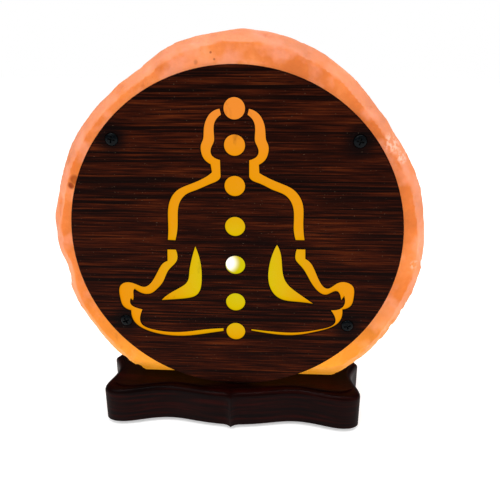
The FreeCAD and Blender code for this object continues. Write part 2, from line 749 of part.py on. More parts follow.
def is_circle(edge, radius):
    """Whether the edge is part of a circle of this radius."""
    return isinstance(edge.Curve, Part.Circle) and abs(edge.Curve.Radius - radius) < 0.001


def make_panel_screws():
    """Four oval-headed screws that hold the panel on the salt."""
    screws = []
    for number, (side, end) in enumerate(SCREW_CORNERS, start=1):
        height = f"{PANEL_MIDDLE} + panel_screw_lift {end} {SCREW_Z}"
        face = f"-({SALT_FRONT} + panel_thickness)"
        body = new_body(f"panel_screw_{number}", f"{side}{SCREW_X}", face, height)
        shank = "panel_screw_shank / 2"
        head = "panel_screw_head / 2"
        dome = "-panel_screw_dome"
        seat = f"({head} - {shank})"
        tip = "panel_screw_length"
        turn(body, [
            [("0", dome), (f"{head} * {ROUND}", dome), (head, f"{dome} * {1 - ROUND}"), (head, "0")],
            [(head, "0"), (shank, seat)],
            [(shank, seat), (shank, f"{tip} - panel_screw_shank")],
            [(shank, f"{tip} - panel_screw_shank"), ("0", tip)],
            [("0", tip), ("0", dome)],
        ], "XY_Plane")
        cross_recess(body, "XZ_Plane", "panel_screw_dome", backwards=False)
        screws.append(body)
    return group("panel_screws", screws)


def make_panel_plugs():
    """Four plugs in the salt that take the panel screws."""
    plugs = []
    for number, (side, end) in enumerate(SCREW_CORNERS, start=1):
        height = f"{PANEL_MIDDLE} + panel_screw_lift {end} {SCREW_Z}"
        body = new_body(f"panel_plug_{number}", f"{side}{SCREW_X}", f"-{SALT_FRONT}", height)
        turn_corners(body, (
            ("panel_screw_shank / 2 + snug", "0"), ("panel_plug_diameter / 2 - snug", "0"),
            ("panel_plug_diameter / 2 - snug", "panel_plug_length"),
            ("panel_screw_shank / 2 + snug", "panel_plug_length"),
        ), "XY_Plane")
        plugs.append(body)
    return group("panel_plugs", plugs)


# --------------------------------------------------------------------------------------------
# Bulb holder, in heights above its seat under the base
# --------------------------------------------------------------------------------------------

def make_holder_cap():
    """Lower cap with the flange, a collar round the cord inlet and a spigot for the sleeve."""
    body = new_body("holder_cap", z=f"{SEAT} - seat_gap")
    inside = f"({HOLDER_RADIUS} - cap_wall)"
    spigot = f"({HOLDER_RADIUS} - spigot_step)"
    collar = "(inlet_diameter / 2 + inlet_wall)"
    shoulder = "(cap_height - spigot_height)"
    turned = turn_corners(body, (
        ("inlet_diameter / 2", "-flange_thickness"), (FLANGE_RADIUS, "-flange_thickness"),
        (FLANGE_RADIUS, "0"), (HOLDER_RADIUS, "0"), (HOLDER_RADIUS, shoulder), (spigot, shoulder),
        (spigot, "cap_height"), (inside, "cap_height"), (inside, "cap_floor"), (collar, "cap_floor"),
        (collar, "inlet_height"), ("inlet_diameter / 2", "inlet_height"),
    ))
    edge_radius = size_of(FLANGE_RADIUS)
    dress(body, "Fillet", turned, lambda edge: is_circle(edge, edge_radius), "flange_thickness / 4")
    return body


def make_holder_sleeve():
    """Outer sleeve that holds the core down with the lip at its rim."""
    body = new_body("holder_sleeve", z=f"{SEAT} - seat_gap")
    inside = f"({HOLDER_RADIUS} - sleeve_wall)"
    socket = f"({HOLDER_RADIUS} - spigot_step + snug)"
    lip = "(holder_height - lip_thickness)"
    turned = turn_corners(body, (
        (socket, "cap_height - spigot_height"), (HOLDER_RADIUS, "cap_height - spigot_height"),
        (HOLDER_RADIUS, "holder_height"), ("lip_diameter / 2", "holder_height"),
        ("lip_diameter / 2", lip), (inside, lip), (inside, "cap_height"), (socket, "cap_height"),
    ))
    rim = size_of("holder_height")
    dress(body, "Fillet", turned, lambda edge: abs(edge.BoundBox.ZMin - rim) < 0.01, "lip_thickness / 3")
    return body


def make_holder_core():
    """Insulating core: a cup for the threaded shell on a skirt that stands on the lower cap."""
    body = new_body("holder_core", z=f"{SEAT} - seat_gap")
    cup = f"({SHELL_OUTSIDE} + snug)"
    skirt = f"({CORE_RADIUS} - core_skirt)"
    rivet = "(rivet_diameter / 2 + snug)"
    turn_corners(body, (
        (rivet, CORE_UNDER), (skirt, CORE_UNDER), (skirt, "cap_height"), (CORE_RADIUS, "cap_height"),
        (CORE_RADIUS, CORE_TOP), (cup, CORE_TOP), (cup, CORE_FLOOR), (rivet, CORE_FLOOR),
    ))
    side_rivet = new_sketch(body, "XY_Plane", CORE_UNDER)
    circle(side_rivet, "side_rivet_reach", "0", rivet)
    cut(body, side_rivet, "core_floor", backwards=True)
    terminals = new_sketch(body, "XY_Plane", CORE_UNDER)
    for side in ("-", ""):
        circle(terminals, f"{side}terminal_reach", "0", "terminal_shank / 2 + snug")
    cut(body, terminals, "terminal_length", backwards=True)
    return body


def make_thread_shell():
    """Brass shell that takes the bulb's thread."""
    body = new_body("thread_shell", z=f"{SEAT} - seat_gap")
    floor_top = f"({CORE_FLOOR} + shell_wall)"
    top = f"({CORE_FLOOR} + shell_height)"
    turn_corners(body, (
        ("shell_hole / 2", CORE_FLOOR), (SHELL_OUTSIDE, CORE_FLOOR), (SHELL_OUTSIDE, top),
        (SHELL_INSIDE, top), (SHELL_INSIDE, floor_top), ("shell_hole / 2", floor_top),
    ))
    return body


def terminal_strip(body, side, inner_end):
    """The strip under the core that leads from a rivet to a terminal screw."""
    strip = new_sketch(body, "XY_Plane", f"{CORE_UNDER} - strip_thickness")
    ends = (("-strip_end", inner_end) if side == "-" else (inner_end, "strip_end"))
    rectangle(strip, (ends[0], "-strip_width / 2"), (ends[1], "strip_width / 2"))
    circle(strip, f"{side}terminal_reach", "0", "terminal_shank / 2 + snug")
    pad(body, strip, "strip_thickness")


def rivet(body, reach):
    """The rivet that runs up through the core's floor."""
    sketch = new_sketch(body, "XY_Plane", CORE_UNDER)
    circle(sketch, reach, "0", "rivet_diameter / 2")
    pad(body, sketch, "core_floor")


def make_centre_contact():
    """Sprung tongue under the bulb's tip, riveted to its terminal strip under the core."""
    body = new_body("centre_contact", z=f"{SEAT} - seat_gap")
    terminal_strip(body, "-", "rivet_diameter / 2 + strip_border")
    rivet(body, "0")
    tongue = new_sketch(body, "XZ_Plane")
    foot_top = f"({CORE_FLOOR} + strip_thickness)"
    bend = f"({CORE_FLOOR} + tongue_bend)"
    tip = f"({CORE_FLOOR} + tip_above_core - seat_gap)"
    polygon(tongue, (
        ("-tongue_reach", CORE_FLOOR), ("tongue_reach", CORE_FLOOR), ("tongue_reach", foot_top),
        ("-tongue_reach / 2", bend), ("tongue_reach", f"{tip} - strip_thickness"),
        ("tongue_reach", tip), ("-tongue_reach", f"{bend} + strip_thickness"),
        ("-tongue_reach", bend), ("tongue_reach / 2", foot_top), ("-tongue_reach", foot_top),
    ))
    pad(body, tongue, "strip_width", middle=True)
    return body


def make_side_contact():
    """Strip and rivet that carry the threaded shell's side of the supply."""
    body = new_body("side_contact", z=f"{SEAT} - seat_gap")
    terminal_strip(body, "", "side_rivet_reach - rivet_diameter / 2 - strip_border")
    rivet(body, "side_rivet_reach")
    return body


def make_terminal_screws():
    """The two screws that clamp the supply wires under the core."""
    screws = []
    for number, side in enumerate(("-", ""), start=1):
        level = f"{SEAT} - seat_gap + {CORE_UNDER} - strip_thickness"
        body = new_body(f"terminal_screw_{number}", f"{side}terminal_reach", "0", level)
        turn_corners(body, (
            ("0", "-terminal_head_height"), ("terminal_head / 2", "-terminal_head_height"),
            ("terminal_head / 2", "0"), ("terminal_shank / 2", "0"),
            ("terminal_shank / 2", "terminal_length"), ("0", "terminal_length"),
        ))
        screws.append(body)
    return group("terminal_screws", screws)


def make_spring_clip():
    """Steel band round the sleeve with three sprung legs that grip the bore."""
    body = new_body("spring_clip", z=f"{SEAT} - seat_gap")
    inside = f"({HOLDER_RADIUS} + snug)"
    outside = f"({inside} + clip_thickness)"
    band = new_sketch(body, "XY_Plane", "clip_level")
    circle(band, "0", "0", inside)
    circle(band, "0", "0", outside)
    pad(body, band, "clip_band")
    reach = "(bore_diameter / 2 - clip_gap)"
    root = f"({inside} + snug)"
    crest = "(clip_level + clip_band / 2)"
    bend = "(clip_level + clip_thickness)"
    toe = "(clip_elbow - clip_toe)"
    side_view = new_sketch(body, "XZ_Plane")
    polygon(side_view, (
        (root, crest), (f"{root} + clip_thickness", crest), (f"{root} + clip_thickness", bend),
        (reach, "clip_elbow"), (f"{reach} - clip_curl", toe),
        (f"{reach} - clip_curl - clip_thickness", toe), (f"{reach} - clip_thickness", "clip_elbow"),
        (root, bend),
    ))
    leg = pad(body, side_view, "clip_leg", middle=True)
    legs = body.newObject("PartDesign::PolarPattern", "spring_clip_legs")
    legs.Originals = [leg]
    legs.Axis = ([item for item in body.Origin.OriginFeatures if item.Role == "Z_Axis"][0], [""])
    legs.Angle = 360
    legs.Occurrences = 3
    body.Tip = legs
    doc.recompute()
    return body


# --------------------------------------------------------------------------------------------
# Bulb, in heights above the tip of its contact
# --------------------------------------------------------------------------------------------

BULB_LEVEL = f"({BULB_FOOT} - seat_gap)"
THREAD_RADIUS = "(bulb_thread / 2)"
CAP_MOUTH = "(bulb_cap_level + bulb_cap_height)"
TIP_RADIUS = "(tip_diameter / 2)"


def make_bulb_tip():
    """Domed solder contact."""
    body = new_body("bulb_tip", z=BULB_LEVEL)
    turn_corners(body, (
        ("0", "0"), (f"{TIP_RADIUS} * 0.6", "0"), (TIP_RADIUS, "tip_height * 0.5"),
        (TIP_RADIUS, "tip_height"), ("0", "tip_height"),
    ))
    return body


def make_bulb_insulator():
    """Black glass button that keeps the contact apart from the cap."""
    body = new_body("bulb_insulator", z=BULB_LEVEL)
    throat = f"({THREAD_RADIUS} - bulb_cap_taper - bulb_cap_wall - 2 * snug)"
    turn_corners(body, (
        ("0", "tip_height"), (f"{TIP_RADIUS} + insulator_border", "tip_height"), (throat, "bulb_cap_level"),
        (throat, "tip_height + insulator_height"), ("0", "tip_height + insulator_height"),
    ))
    return body


def make_bulb_cap():
    """Thin metal cap of the bulb."""
    body = new_body("bulb_cap", z=BULB_LEVEL)
    wall = "bulb_cap_wall"
    low = "bulb_cap_level"
    drawn_in = f"({THREAD_RADIUS} - bulb_cap_taper)"
    turned_out = f"({THREAD_RADIUS} + bulb_cap_flare)"
    turn_corners(body, (
        (drawn_in, low), (THREAD_RADIUS, f"{low} + bulb_cap_taper"),
        (THREAD_RADIUS, f"{CAP_MOUTH} - bulb_cap_flare * 2"), (turned_out, CAP_MOUTH),
        (f"{turned_out} - {wall}", CAP_MOUTH),
        (f"{THREAD_RADIUS} - {wall}", f"{CAP_MOUTH} - bulb_cap_flare * 1.8"),
        (f"{THREAD_RADIUS} - {wall}", f"{low} + bulb_cap_taper + {wall} * 0.4"),
        (f"{drawn_in} - {wall}", f"{low} + {wall} * 0.4"),
    ))
    return body


def glass_side(inset):
    """Neck, shoulder and dome of the glass, set in by the inset: runs of radius and height."""
    neck = f"(bulb_neck / 2 - {inset})"
    belly = f"(bulb_diameter / 2 - {inset})"
    equator = "(bulb_length - bulb_diameter / 2)"
    crown = f"(bulb_length - {inset})"
    foot = f"({CAP_MOUTH} - neck_in_cap)"
    shoulder = f"({CAP_MOUTH} + ({equator} - {CAP_MOUTH}) * 0.4)"
    return [
        [(neck, foot), (neck, CAP_MOUTH)],
        [(neck, CAP_MOUTH), (neck, shoulder), (belly, shoulder), (belly, equator)],
        [
            (belly, equator), (belly, f"{equator} + {belly} * {ROUND}"),
            (f"{belly} * {ROUND}", crown), ("0", crown),
        ],
    ]


def make_bulb_glass():
    """Small pear-shaped glass."""
    body = new_body("bulb_glass", z=BULB_LEVEL)
    outside = glass_side("0")
    inside = [run[::-1] for run in glass_side("glass_wall")[::-1]]
    crown = [outside[-1][-1], inside[0][0]]
    mouth = [inside[-1][-1], outside[0][0]]
    turn(body, outside + [crown] + inside + [mouth])
    return body


def make_bulb_stem():
    """Glass stem that is sealed into the neck and carries the lead wires."""
    body = new_body("bulb_stem", z=BULB_LEVEL)
    flare = "(bulb_neck / 2 - glass_wall - snug)"
    foot = f"({CAP_MOUTH} - neck_in_cap)"
    turn_corners(body, (
        ("0", foot), (flare, foot), (flare, f"{foot} + glass_wall"),
        ("stem_diameter / 2", f"{CAP_MOUTH} + glass_wall"), ("stem_diameter / 2", "stem_height"),
        ("0", "stem_height"),
    ))
    return body


def make_bulb_leads():
    """The two wires from the stem to the ends of the filament."""
    leads = []
    for name, side in (("bulb_lead_left", -1), ("bulb_lead_right", 1)):
        body = new_body(name, z=BULB_LEVEL)
        sketch = new_sketch(body, "XZ_Plane")
        polygon(sketch, (
            (f"{side} * stem_diameter / 4", "stem_height"),
            (f"{side} * (stem_diameter / 4 + wire)", "stem_height"),
            (f"{side} * (filament_span / 2 + wire / 2)", "filament_height"),
            (f"{side} * (filament_span / 2 - wire / 2)", "filament_height"),
        ))
        pad(body, sketch, "wire", middle=True)
        leads.append(body)
    return group("bulb_leads", leads)


def make_bulb_filament():
    """The filament, an arch between its two lead wires."""
    body = new_body("bulb_filament", z=BULB_LEVEL)
    outer = "(filament_span / 2 + wire / 2)"
    inner = "(filament_span / 2 - wire / 2)"
    foot = "filament_height"
    over = "(filament_height + filament_rise / 0.75)"
    under = f"({over} - wire / 0.75)"
    sketch = new_sketch(body, "XZ_Plane")
    outline(sketch, (
        (("-" + outer, foot), ("-" + outer, over), (outer, over), (outer, foot)),
        ((outer, foot), (inner, foot)),
        ((inner, foot), (inner, under), ("-" + inner, under), ("-" + inner, foot)),
        (("-" + inner, foot), ("-" + outer, foot)),
    ))
    pad(body, sketch, "wire", middle=True)
    return body


# --------------------------------------------------------------------------------------------
# The lamp
# --------------------------------------------------------------------------------------------

def make_lamp():
    """Every piece of the lamp, from the table up."""
    feet = [
        make_foot(f"foot_{depth}_{width}", side, end)
        for depth, end in (("front", -1), ("rear", 1))
        for width, side in (("left", -1), ("right", 1))
    ]
    makers = (
        make_base, make_base_screws, make_base_plugs, make_salt, make_panel, make_panel_screws,
        make_panel_plugs, make_holder_cap, make_holder_sleeve, make_holder_core, make_thread_shell,
        make_centre_contact, make_side_contact, make_terminal_screws, make_spring_clip,
        make_bulb_tip, make_bulb_insulator, make_bulb_cap, make_bulb_glass, make_bulb_stem,
        make_bulb_leads, make_bulb_filament,
    )
    return feet + [make() for make in makers]


def check(nodes):
    """Stop if any feature failed or any piece is not a sound solid."""
    failed = [item.Name for item in doc.Objects if {"Invalid", "Error"} & set(item.State)]
    unsound = [
        node.Label for node in nodes
        if node.Shape.isNull() or not node.Shape.isValid() or not node.Shape.Solids
    ]
    if failed or unsound:
        raise RuntimeError(f"failed features {failed}, unsound pieces {unsound}")


def export(nodes):
    """One STEP file for each piece, named after it."""
    os.makedirs("parts", exist_ok=True)
    for node in nodes:
        node.Shape.exportStep(f"parts/{node.Label}.step")


lamp = make_lamp()
doc.recompute()
check(lamp)
export(lamp)
for node in lamp:
    print(f"{node.Label}: {len(node.Shape.Solids)} solid(s), {node.Shape.Volume:.1f} mm3")
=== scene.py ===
# %% [markdown]
# # A salt crystal lamp
# A hewn disc of rock salt stands on a moulded wooden base. A round panel with a fretwork figure is
# screwed to its front, and a small bulb inside it makes the salt glow. The shapes come from the CAD
# frame; this file adds surfaces, finishes and light. Meshes are in metres and finishes are worked
# out in millimetres. X is right, Y back, Z up.

import math

import bmesh
import bpy
from mathutils import Matrix, Vector, noise


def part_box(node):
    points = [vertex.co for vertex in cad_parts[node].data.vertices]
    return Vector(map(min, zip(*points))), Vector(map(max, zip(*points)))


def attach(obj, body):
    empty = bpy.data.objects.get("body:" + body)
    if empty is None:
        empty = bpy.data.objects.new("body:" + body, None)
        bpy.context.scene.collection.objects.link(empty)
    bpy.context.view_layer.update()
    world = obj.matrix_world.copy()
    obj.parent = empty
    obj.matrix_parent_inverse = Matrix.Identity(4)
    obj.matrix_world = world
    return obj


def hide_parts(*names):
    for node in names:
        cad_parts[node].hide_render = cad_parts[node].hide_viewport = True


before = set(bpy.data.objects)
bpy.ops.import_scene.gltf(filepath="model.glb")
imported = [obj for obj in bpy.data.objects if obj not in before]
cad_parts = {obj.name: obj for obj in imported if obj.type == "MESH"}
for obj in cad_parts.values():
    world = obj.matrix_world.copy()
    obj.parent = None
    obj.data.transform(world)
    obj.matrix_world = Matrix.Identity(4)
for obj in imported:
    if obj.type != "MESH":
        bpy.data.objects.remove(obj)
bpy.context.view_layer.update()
MM = 0.001

# %% [markdown]
# Every finish below is a small tree of nodes. The helpers keep that short: paint reads a colour
# written in hex, add makes a node together with its settings and its links, and each of the others
# stands for a step that comes up often.

# %% Helpers for colours and nodes


def paint(code):
    """A colour written as sRGB hex, as the linear values that shaders work with."""
    channels = [int(code[start:start + 2], 16) / 255 for start in (1, 3, 5)]
    linear = [c / 12.92 if c <= 0.04045 else ((c + 0.055) / 1.055) ** 2.4 for c in channels]
    return (*linear, 1.0)


def add(tree, kind, inputs=None, **settings):
    """A new node with its settings; an input takes a value, or another node's output as a link."""
    node = tree.nodes.new(kind)
    for name, value in settings.items():
        setattr(node, name, value)
    for name, value in (inputs or {}).items():
        if isinstance(value, bpy.types.NodeSocket):
            tree.links.new(value, node.inputs[name])
        else:
            node.inputs[name].default_value = value
    return node


def new_material(name, **shader):
    """An empty material, its tree, its main shader and its place in millimetres."""
    material = bpy.data.materials.new(name)
    material.use_nodes = True
    tree = material.node_tree
    principled = tree.nodes["Principled BSDF"]
    for socket, value in shader.items():
        principled.inputs[socket.replace("_", " ")].default_value = value
    coordinates = add(tree, "ShaderNodeTexCoord").outputs["Object"]
    scaled = add(tree, "ShaderNodeVectorMath", {0: coordinates, "Scale": 1 / MM}, operation="SCALE")
    return material, tree, principled, scaled.outputs["Vector"]


def ramp(tree, factor, stops):
    """A colour ramp through (position, colour) stops."""
    node = add(tree, "ShaderNodeValToRGB", {"Fac": factor})
    elements = node.color_ramp.elements
    while len(elements) < len(stops):
        elements.new(0.5)
    for element, (position, colour) in zip(elements, stops):
        element.position = position
        element.color = colour
    return node.outputs["Color"]


def grey(value):
    """A grey for ramps that make masks."""
    return (value, value, value, 1.0)


def mix(tree, factor, first, second):
    """Two colours mixed by a factor."""
    node = add(tree, "ShaderNodeMix", data_type="RGBA")
    for socket, value in zip((node.inputs[0], node.inputs[6], node.inputs[7]), (factor, first, second)):
        if isinstance(value, bpy.types.NodeSocket):
            tree.links.new(value, socket)
        else:
            socket.default_value = value
    return node.outputs[2]


def calc(tree, operation, *values, clamp=False):
    """A sum on numbers or sockets, kept between zero and one where asked."""
    inputs = dict(enumerate(values))
    return add(tree, "ShaderNodeMath", inputs, operation=operation, use_clamp=clamp).outputs[0]


def grain(tree, place, size, detail=3.0, stretch=(1, 1, 1), turn=(0, 0, 0), roughness=0.5):
    """Noise whose blotches are about size millimetres across, stretched and turned as asked."""
    mapping = add(tree, "ShaderNodeMapping", {
        "Vector": place, "Scale": [1 / (size * s) for s in stretch], "Rotation": turn,
    })
    node = add(tree, "ShaderNodeTexNoise", {
        "Vector": mapping.outputs["Vector"], "Scale": 1.0, "Detail": detail, "Roughness": roughness,
    })
    return node.outputs["Fac"]


def eased(tree, value, low, high, first=0.0, last=1.0):
    """From first at low to last at high, smoothly, and level beyond."""
    inputs = {"Value": value, "From Min": low, "From Max": high, "To Min": first, "To Max": last}
    return add(tree, "ShaderNodeMapRange", inputs, interpolation_type="SMOOTHSTEP").outputs["Result"]


def apart(tree, point, other):
    """The distance between two points, sockets or values."""
    node = add(tree, "ShaderNodeVectorMath", {0: point, 1: other}, operation="DISTANCE")
    return node.outputs["Value"]


def across_face(tree, place):
    """A place pressed flat onto the panel's plane, so only x and z count."""
    node = add(tree, "ShaderNodeVectorMath", {0: place, 1: (1, 0, 1)}, operation="MULTIPLY")
    return node.outputs["Vector"]


def surface_normal(tree):
    """The three parts of the surface's direction."""
    normal = add(tree, "ShaderNodeNewGeometry").outputs["Normal"]
    return add(tree, "ShaderNodeSeparateXYZ", {"Vector": normal}).outputs


def bump(tree, height, depth, under=None):
    """A bump whose full height is depth millimetres."""
    inputs = {"Height": height, "Distance": depth * MM, "Strength": 1.0}
    if under is not None:
        inputs["Normal"] = under
    return add(tree, "ShaderNodeBump", inputs).outputs["Normal"]


# %% [markdown]
# The finishes share two ideas. A mark is a soft-edged spot at a place on the lamp. The glow of the
# salt depends on how far a point is from a place just in front of the bulb.

# %% Helpers for marks and for the glow

GLOW_MIDDLE = (0, -20, 104)      # millimetres
GLOW_REACH = 150                 # millimetres from there to the end of the colours


def near(tree, place, spot, fade):
    """One in the middle of a spot, nothing beyond its radius."""
    return eased(tree, apart(tree, place, spot[:3]), spot[3] * fade, spot[3], 1.0, 0.0)


def most(tree, marks):
    """The strongest of several masks."""
    whole = marks[0]
    for mark in marks[1:]:
        whole = calc(tree, "MAXIMUM", whole, mark)
    return whole


def glow_behind_panel(tree, place):
    """The colour of the lit salt behind the panel, and the share of the reach that sets it."""
    share = calc(tree, "DIVIDE", apart(tree, place, GLOW_MIDDLE), GLOW_REACH)
    colour = ramp(tree, share, [
        (0.08, paint("#d8cc00")), (0.19, paint("#e4c000")), (0.34, paint("#ee9f00")),
        (0.50, paint("#f59a05")), (0.66, paint("#fb9230")),
    ])
    return colour, share


# %% [markdown]
# The panel is thin hardwood board, stained nearly black-brown. Its grain runs across, falling a
# little to the right, in streaks about a millimetre high and many long. The fretwork was burnt
# out, so each cut edge is charred for about a millimetre: rays shot inside the board find the walls
# of the cut-outs only where a wall is near, and that marks the char. The walls themselves are given
# a painted glow: the salt's light is painted onto them as emission in its colour, except at their
# front edge.

# %% Stained wood of the panel

PANEL_MIDDLE = (0, -30, 128.5)   # millimetres, at the panel's back
PANEL_RADIUS = 100
PANEL_FRONT = -33
CUT_OUT_REACH = 94               # every cut-out lies within this radius
SCREW_MARKS = tuple((x, PANEL_FRONT, z, 13) for x in (-70.5, 70.5) for z in (73.3, 187.9))


def stained_wood():
    material, tree, shader, place = new_material("stained_hardwood_board", IOR=1.5)
    shader.inputs["Specular IOR Level"].default_value = 0.03
    slope = (0, math.radians(4), 0)
    streaks = grain(tree, place, 1.1, 4, (34, 6, 1), slope, 0.6)
    bands = grain(tree, place, 12, 2, (7, 3, 1), slope)
    pores = grain(tree, place, 0.7, 3, (42, 6, 1), slope, 0.7)
    tone = calc(tree, "ADD", calc(tree, "MULTIPLY", streaks, 0.72), calc(tree, "MULTIPLY", bands, 0.28))
    colour = ramp(tree, tone, [
        (0.36, paint("#0e0201")), (0.47, paint("#200601")), (0.55, paint("#371003")),
        (0.68, paint("#582408")),
    ])
    dark_pores = ramp(tree, pores, [(0.36, grey(1)), (0.46, grey(0))])
    colour = mix(tree, dark_pores, colour, paint("#120402"))
    hairlines = grain(tree, place, 1.5, 1, (90, 6, 1), slope, 0.3)
    lines = ramp(tree, hairlines, [(0.56, grey(0)), (0.63, grey(1))])
    colour = mix(tree, calc(tree, "MULTIPLY", lines, 0.9), colour, paint("#0a0201"))
    worn = most(tree, [near(tree, place, spot, 0.3) for spot in SCREW_MARKS])
    colour = mix(tree, calc(tree, "MULTIPLY", worn, 0.85), colour, paint("#060202"))
    dust = ramp(tree, grain(tree, place, 0.8, 1), [(0.76, grey(0)), (0.80, grey(1))])
    colour = mix(tree, calc(tree, "MULTIPLY", dust, 0.3), colour, paint("#a08468"))
    near_wall = add(tree, "ShaderNodeAmbientOcclusion", {"Distance": 1.5 * MM},
                    inside=True, only_local=True, samples=8).outputs["AO"]
    uneven = calc(tree, "MULTIPLY_ADD", grain(tree, place, 3, 2), 0.30, near_wall)
    char = ramp(tree, uneven, [(0.74, grey(1)), (1.00, grey(0))])
    tree.links.new(mix(tree, char, colour, paint("#0a0403")), shader.inputs["Base Color"])
    rough = calc(tree, "MULTIPLY_ADD", char, 0.25, calc(tree, "MULTIPLY_ADD", streaks, 0.25, 0.28))
    tree.links.new(rough, shader.inputs["Roughness"])
    tree.links.new(bump(tree, tone, 0.25), shader.inputs["Normal"])

    # Painted light: behind their front edge, the walls of the cut-outs glow in the salt's colour, standing
    # for the salt's light falling on them.
    sideways = calc(tree, "LESS_THAN", calc(tree, "ABSOLUTE", surface_normal(tree)["Y"]), 0.5)
    centre = (PANEL_MIDDLE[0], 0, PANEL_MIDDLE[2])
    out = apart(tree, across_face(tree, place), centre)
    cut_wall = calc(tree, "MULTIPLY", sideways, calc(tree, "LESS_THAN", out, CUT_OUT_REACH))
    depth = add(tree, "ShaderNodeSeparateXYZ", {"Vector": place}).outputs["Y"]
    deep = add(tree, "ShaderNodeMapRange", {
        "Value": depth, "From Min": PANEL_FRONT + 0.4, "From Max": PANEL_FRONT + 1.4,
    }).outputs["Result"]
    tree.links.new(glow_behind_panel(tree, place)[0], shader.inputs["Emission Color"])
    tree.links.new(calc(tree, "MULTIPLY", cut_wall, calc(tree, "MULTIPLY", deep, 0.85)),
                   shader.inputs["Emission Strength"])
    return material


WOOD = stained_wood()
print("made", WOOD.name)

# %% [markdown]
# The base is moulded hardwood under a clear lacquer: near-black with a dark red heart. The coat is
# kept thin, since little is mirrored in it; it shows as narrow highlights along the mouldings.

# %% Lacquered wood of the base


def lacquered_wood():
    material, tree, shader, place = new_material(
        "gloss_lacquered_hardwood", Roughness=0.5, Coat_Weight=0.035, Coat_Roughness=0.04, IOR=1.5,
    )
    shader.inputs["Specular IOR Level"].default_value = 0.03
    rings = grain(tree, place, 2.2, 4, (24, 5, 1), (0, 0, 0), 0.6)
    colour = ramp(tree, rings, [
        (0.38, paint("#090101")), (0.52, paint("#140201")), (0.66, paint("#240301")),
    ])
    tree.links.new(colour, shader.inputs["Base Color"])
    tree.links.new(bump(tree, rings, 0.05), shader.inputs["Normal"])
    orange_peel = bump(tree, grain(tree, place, 5, 1), 0.04)
    tree.links.new(orange_peel, shader.inputs["Coat Normal"])
    return material


LACQUER = lacquered_wood()
print("made", LACQUER.name)

# %% [markdown]
# Rock salt lets light run through it for centimetres. A bulb in its bore therefore lights the block
# itself: a white hot patch in front of the bulb, yellow round it, orange further out, and paler and
# pinker at the hewn rim, where the room's light takes over. Iron stains it in specks and veins.
# The glow is worked out from the distance to a place by the bulb, so it stays with the block from
# any side.

# %% Rock salt

HOT_PATCH = (-5.0, -31, 113.0, 8.2)  # x, y, z, radius
STAINS = (  # rust seen on the rim: x, y, z, radius
    (1.8, -30, 239.3, 1.3), (-18.6, -30, 235.6, 1.4), (-13.0, -30, 234.5, 1.2), (-21.4, -30, 229.6, 2.0),
    (-11.0, -30, 231.0, 1.0), (-35.4, -30, 227.4, 0.9), (-96.0, -30, 163.5, 4.0), (-98.6, -30, 160.0, 3.0),
    (-99.5, -30, 153.5, 1.2), (-86.0, -30, 195.5, 1.6), (26.5, -30, 185.5, 1.3),
)
FROST = ((90.5, -29, 187.0, 8.0), (96.0, -27, 178.5, 5.0), (109.5, -29, 113.5, 4.0))


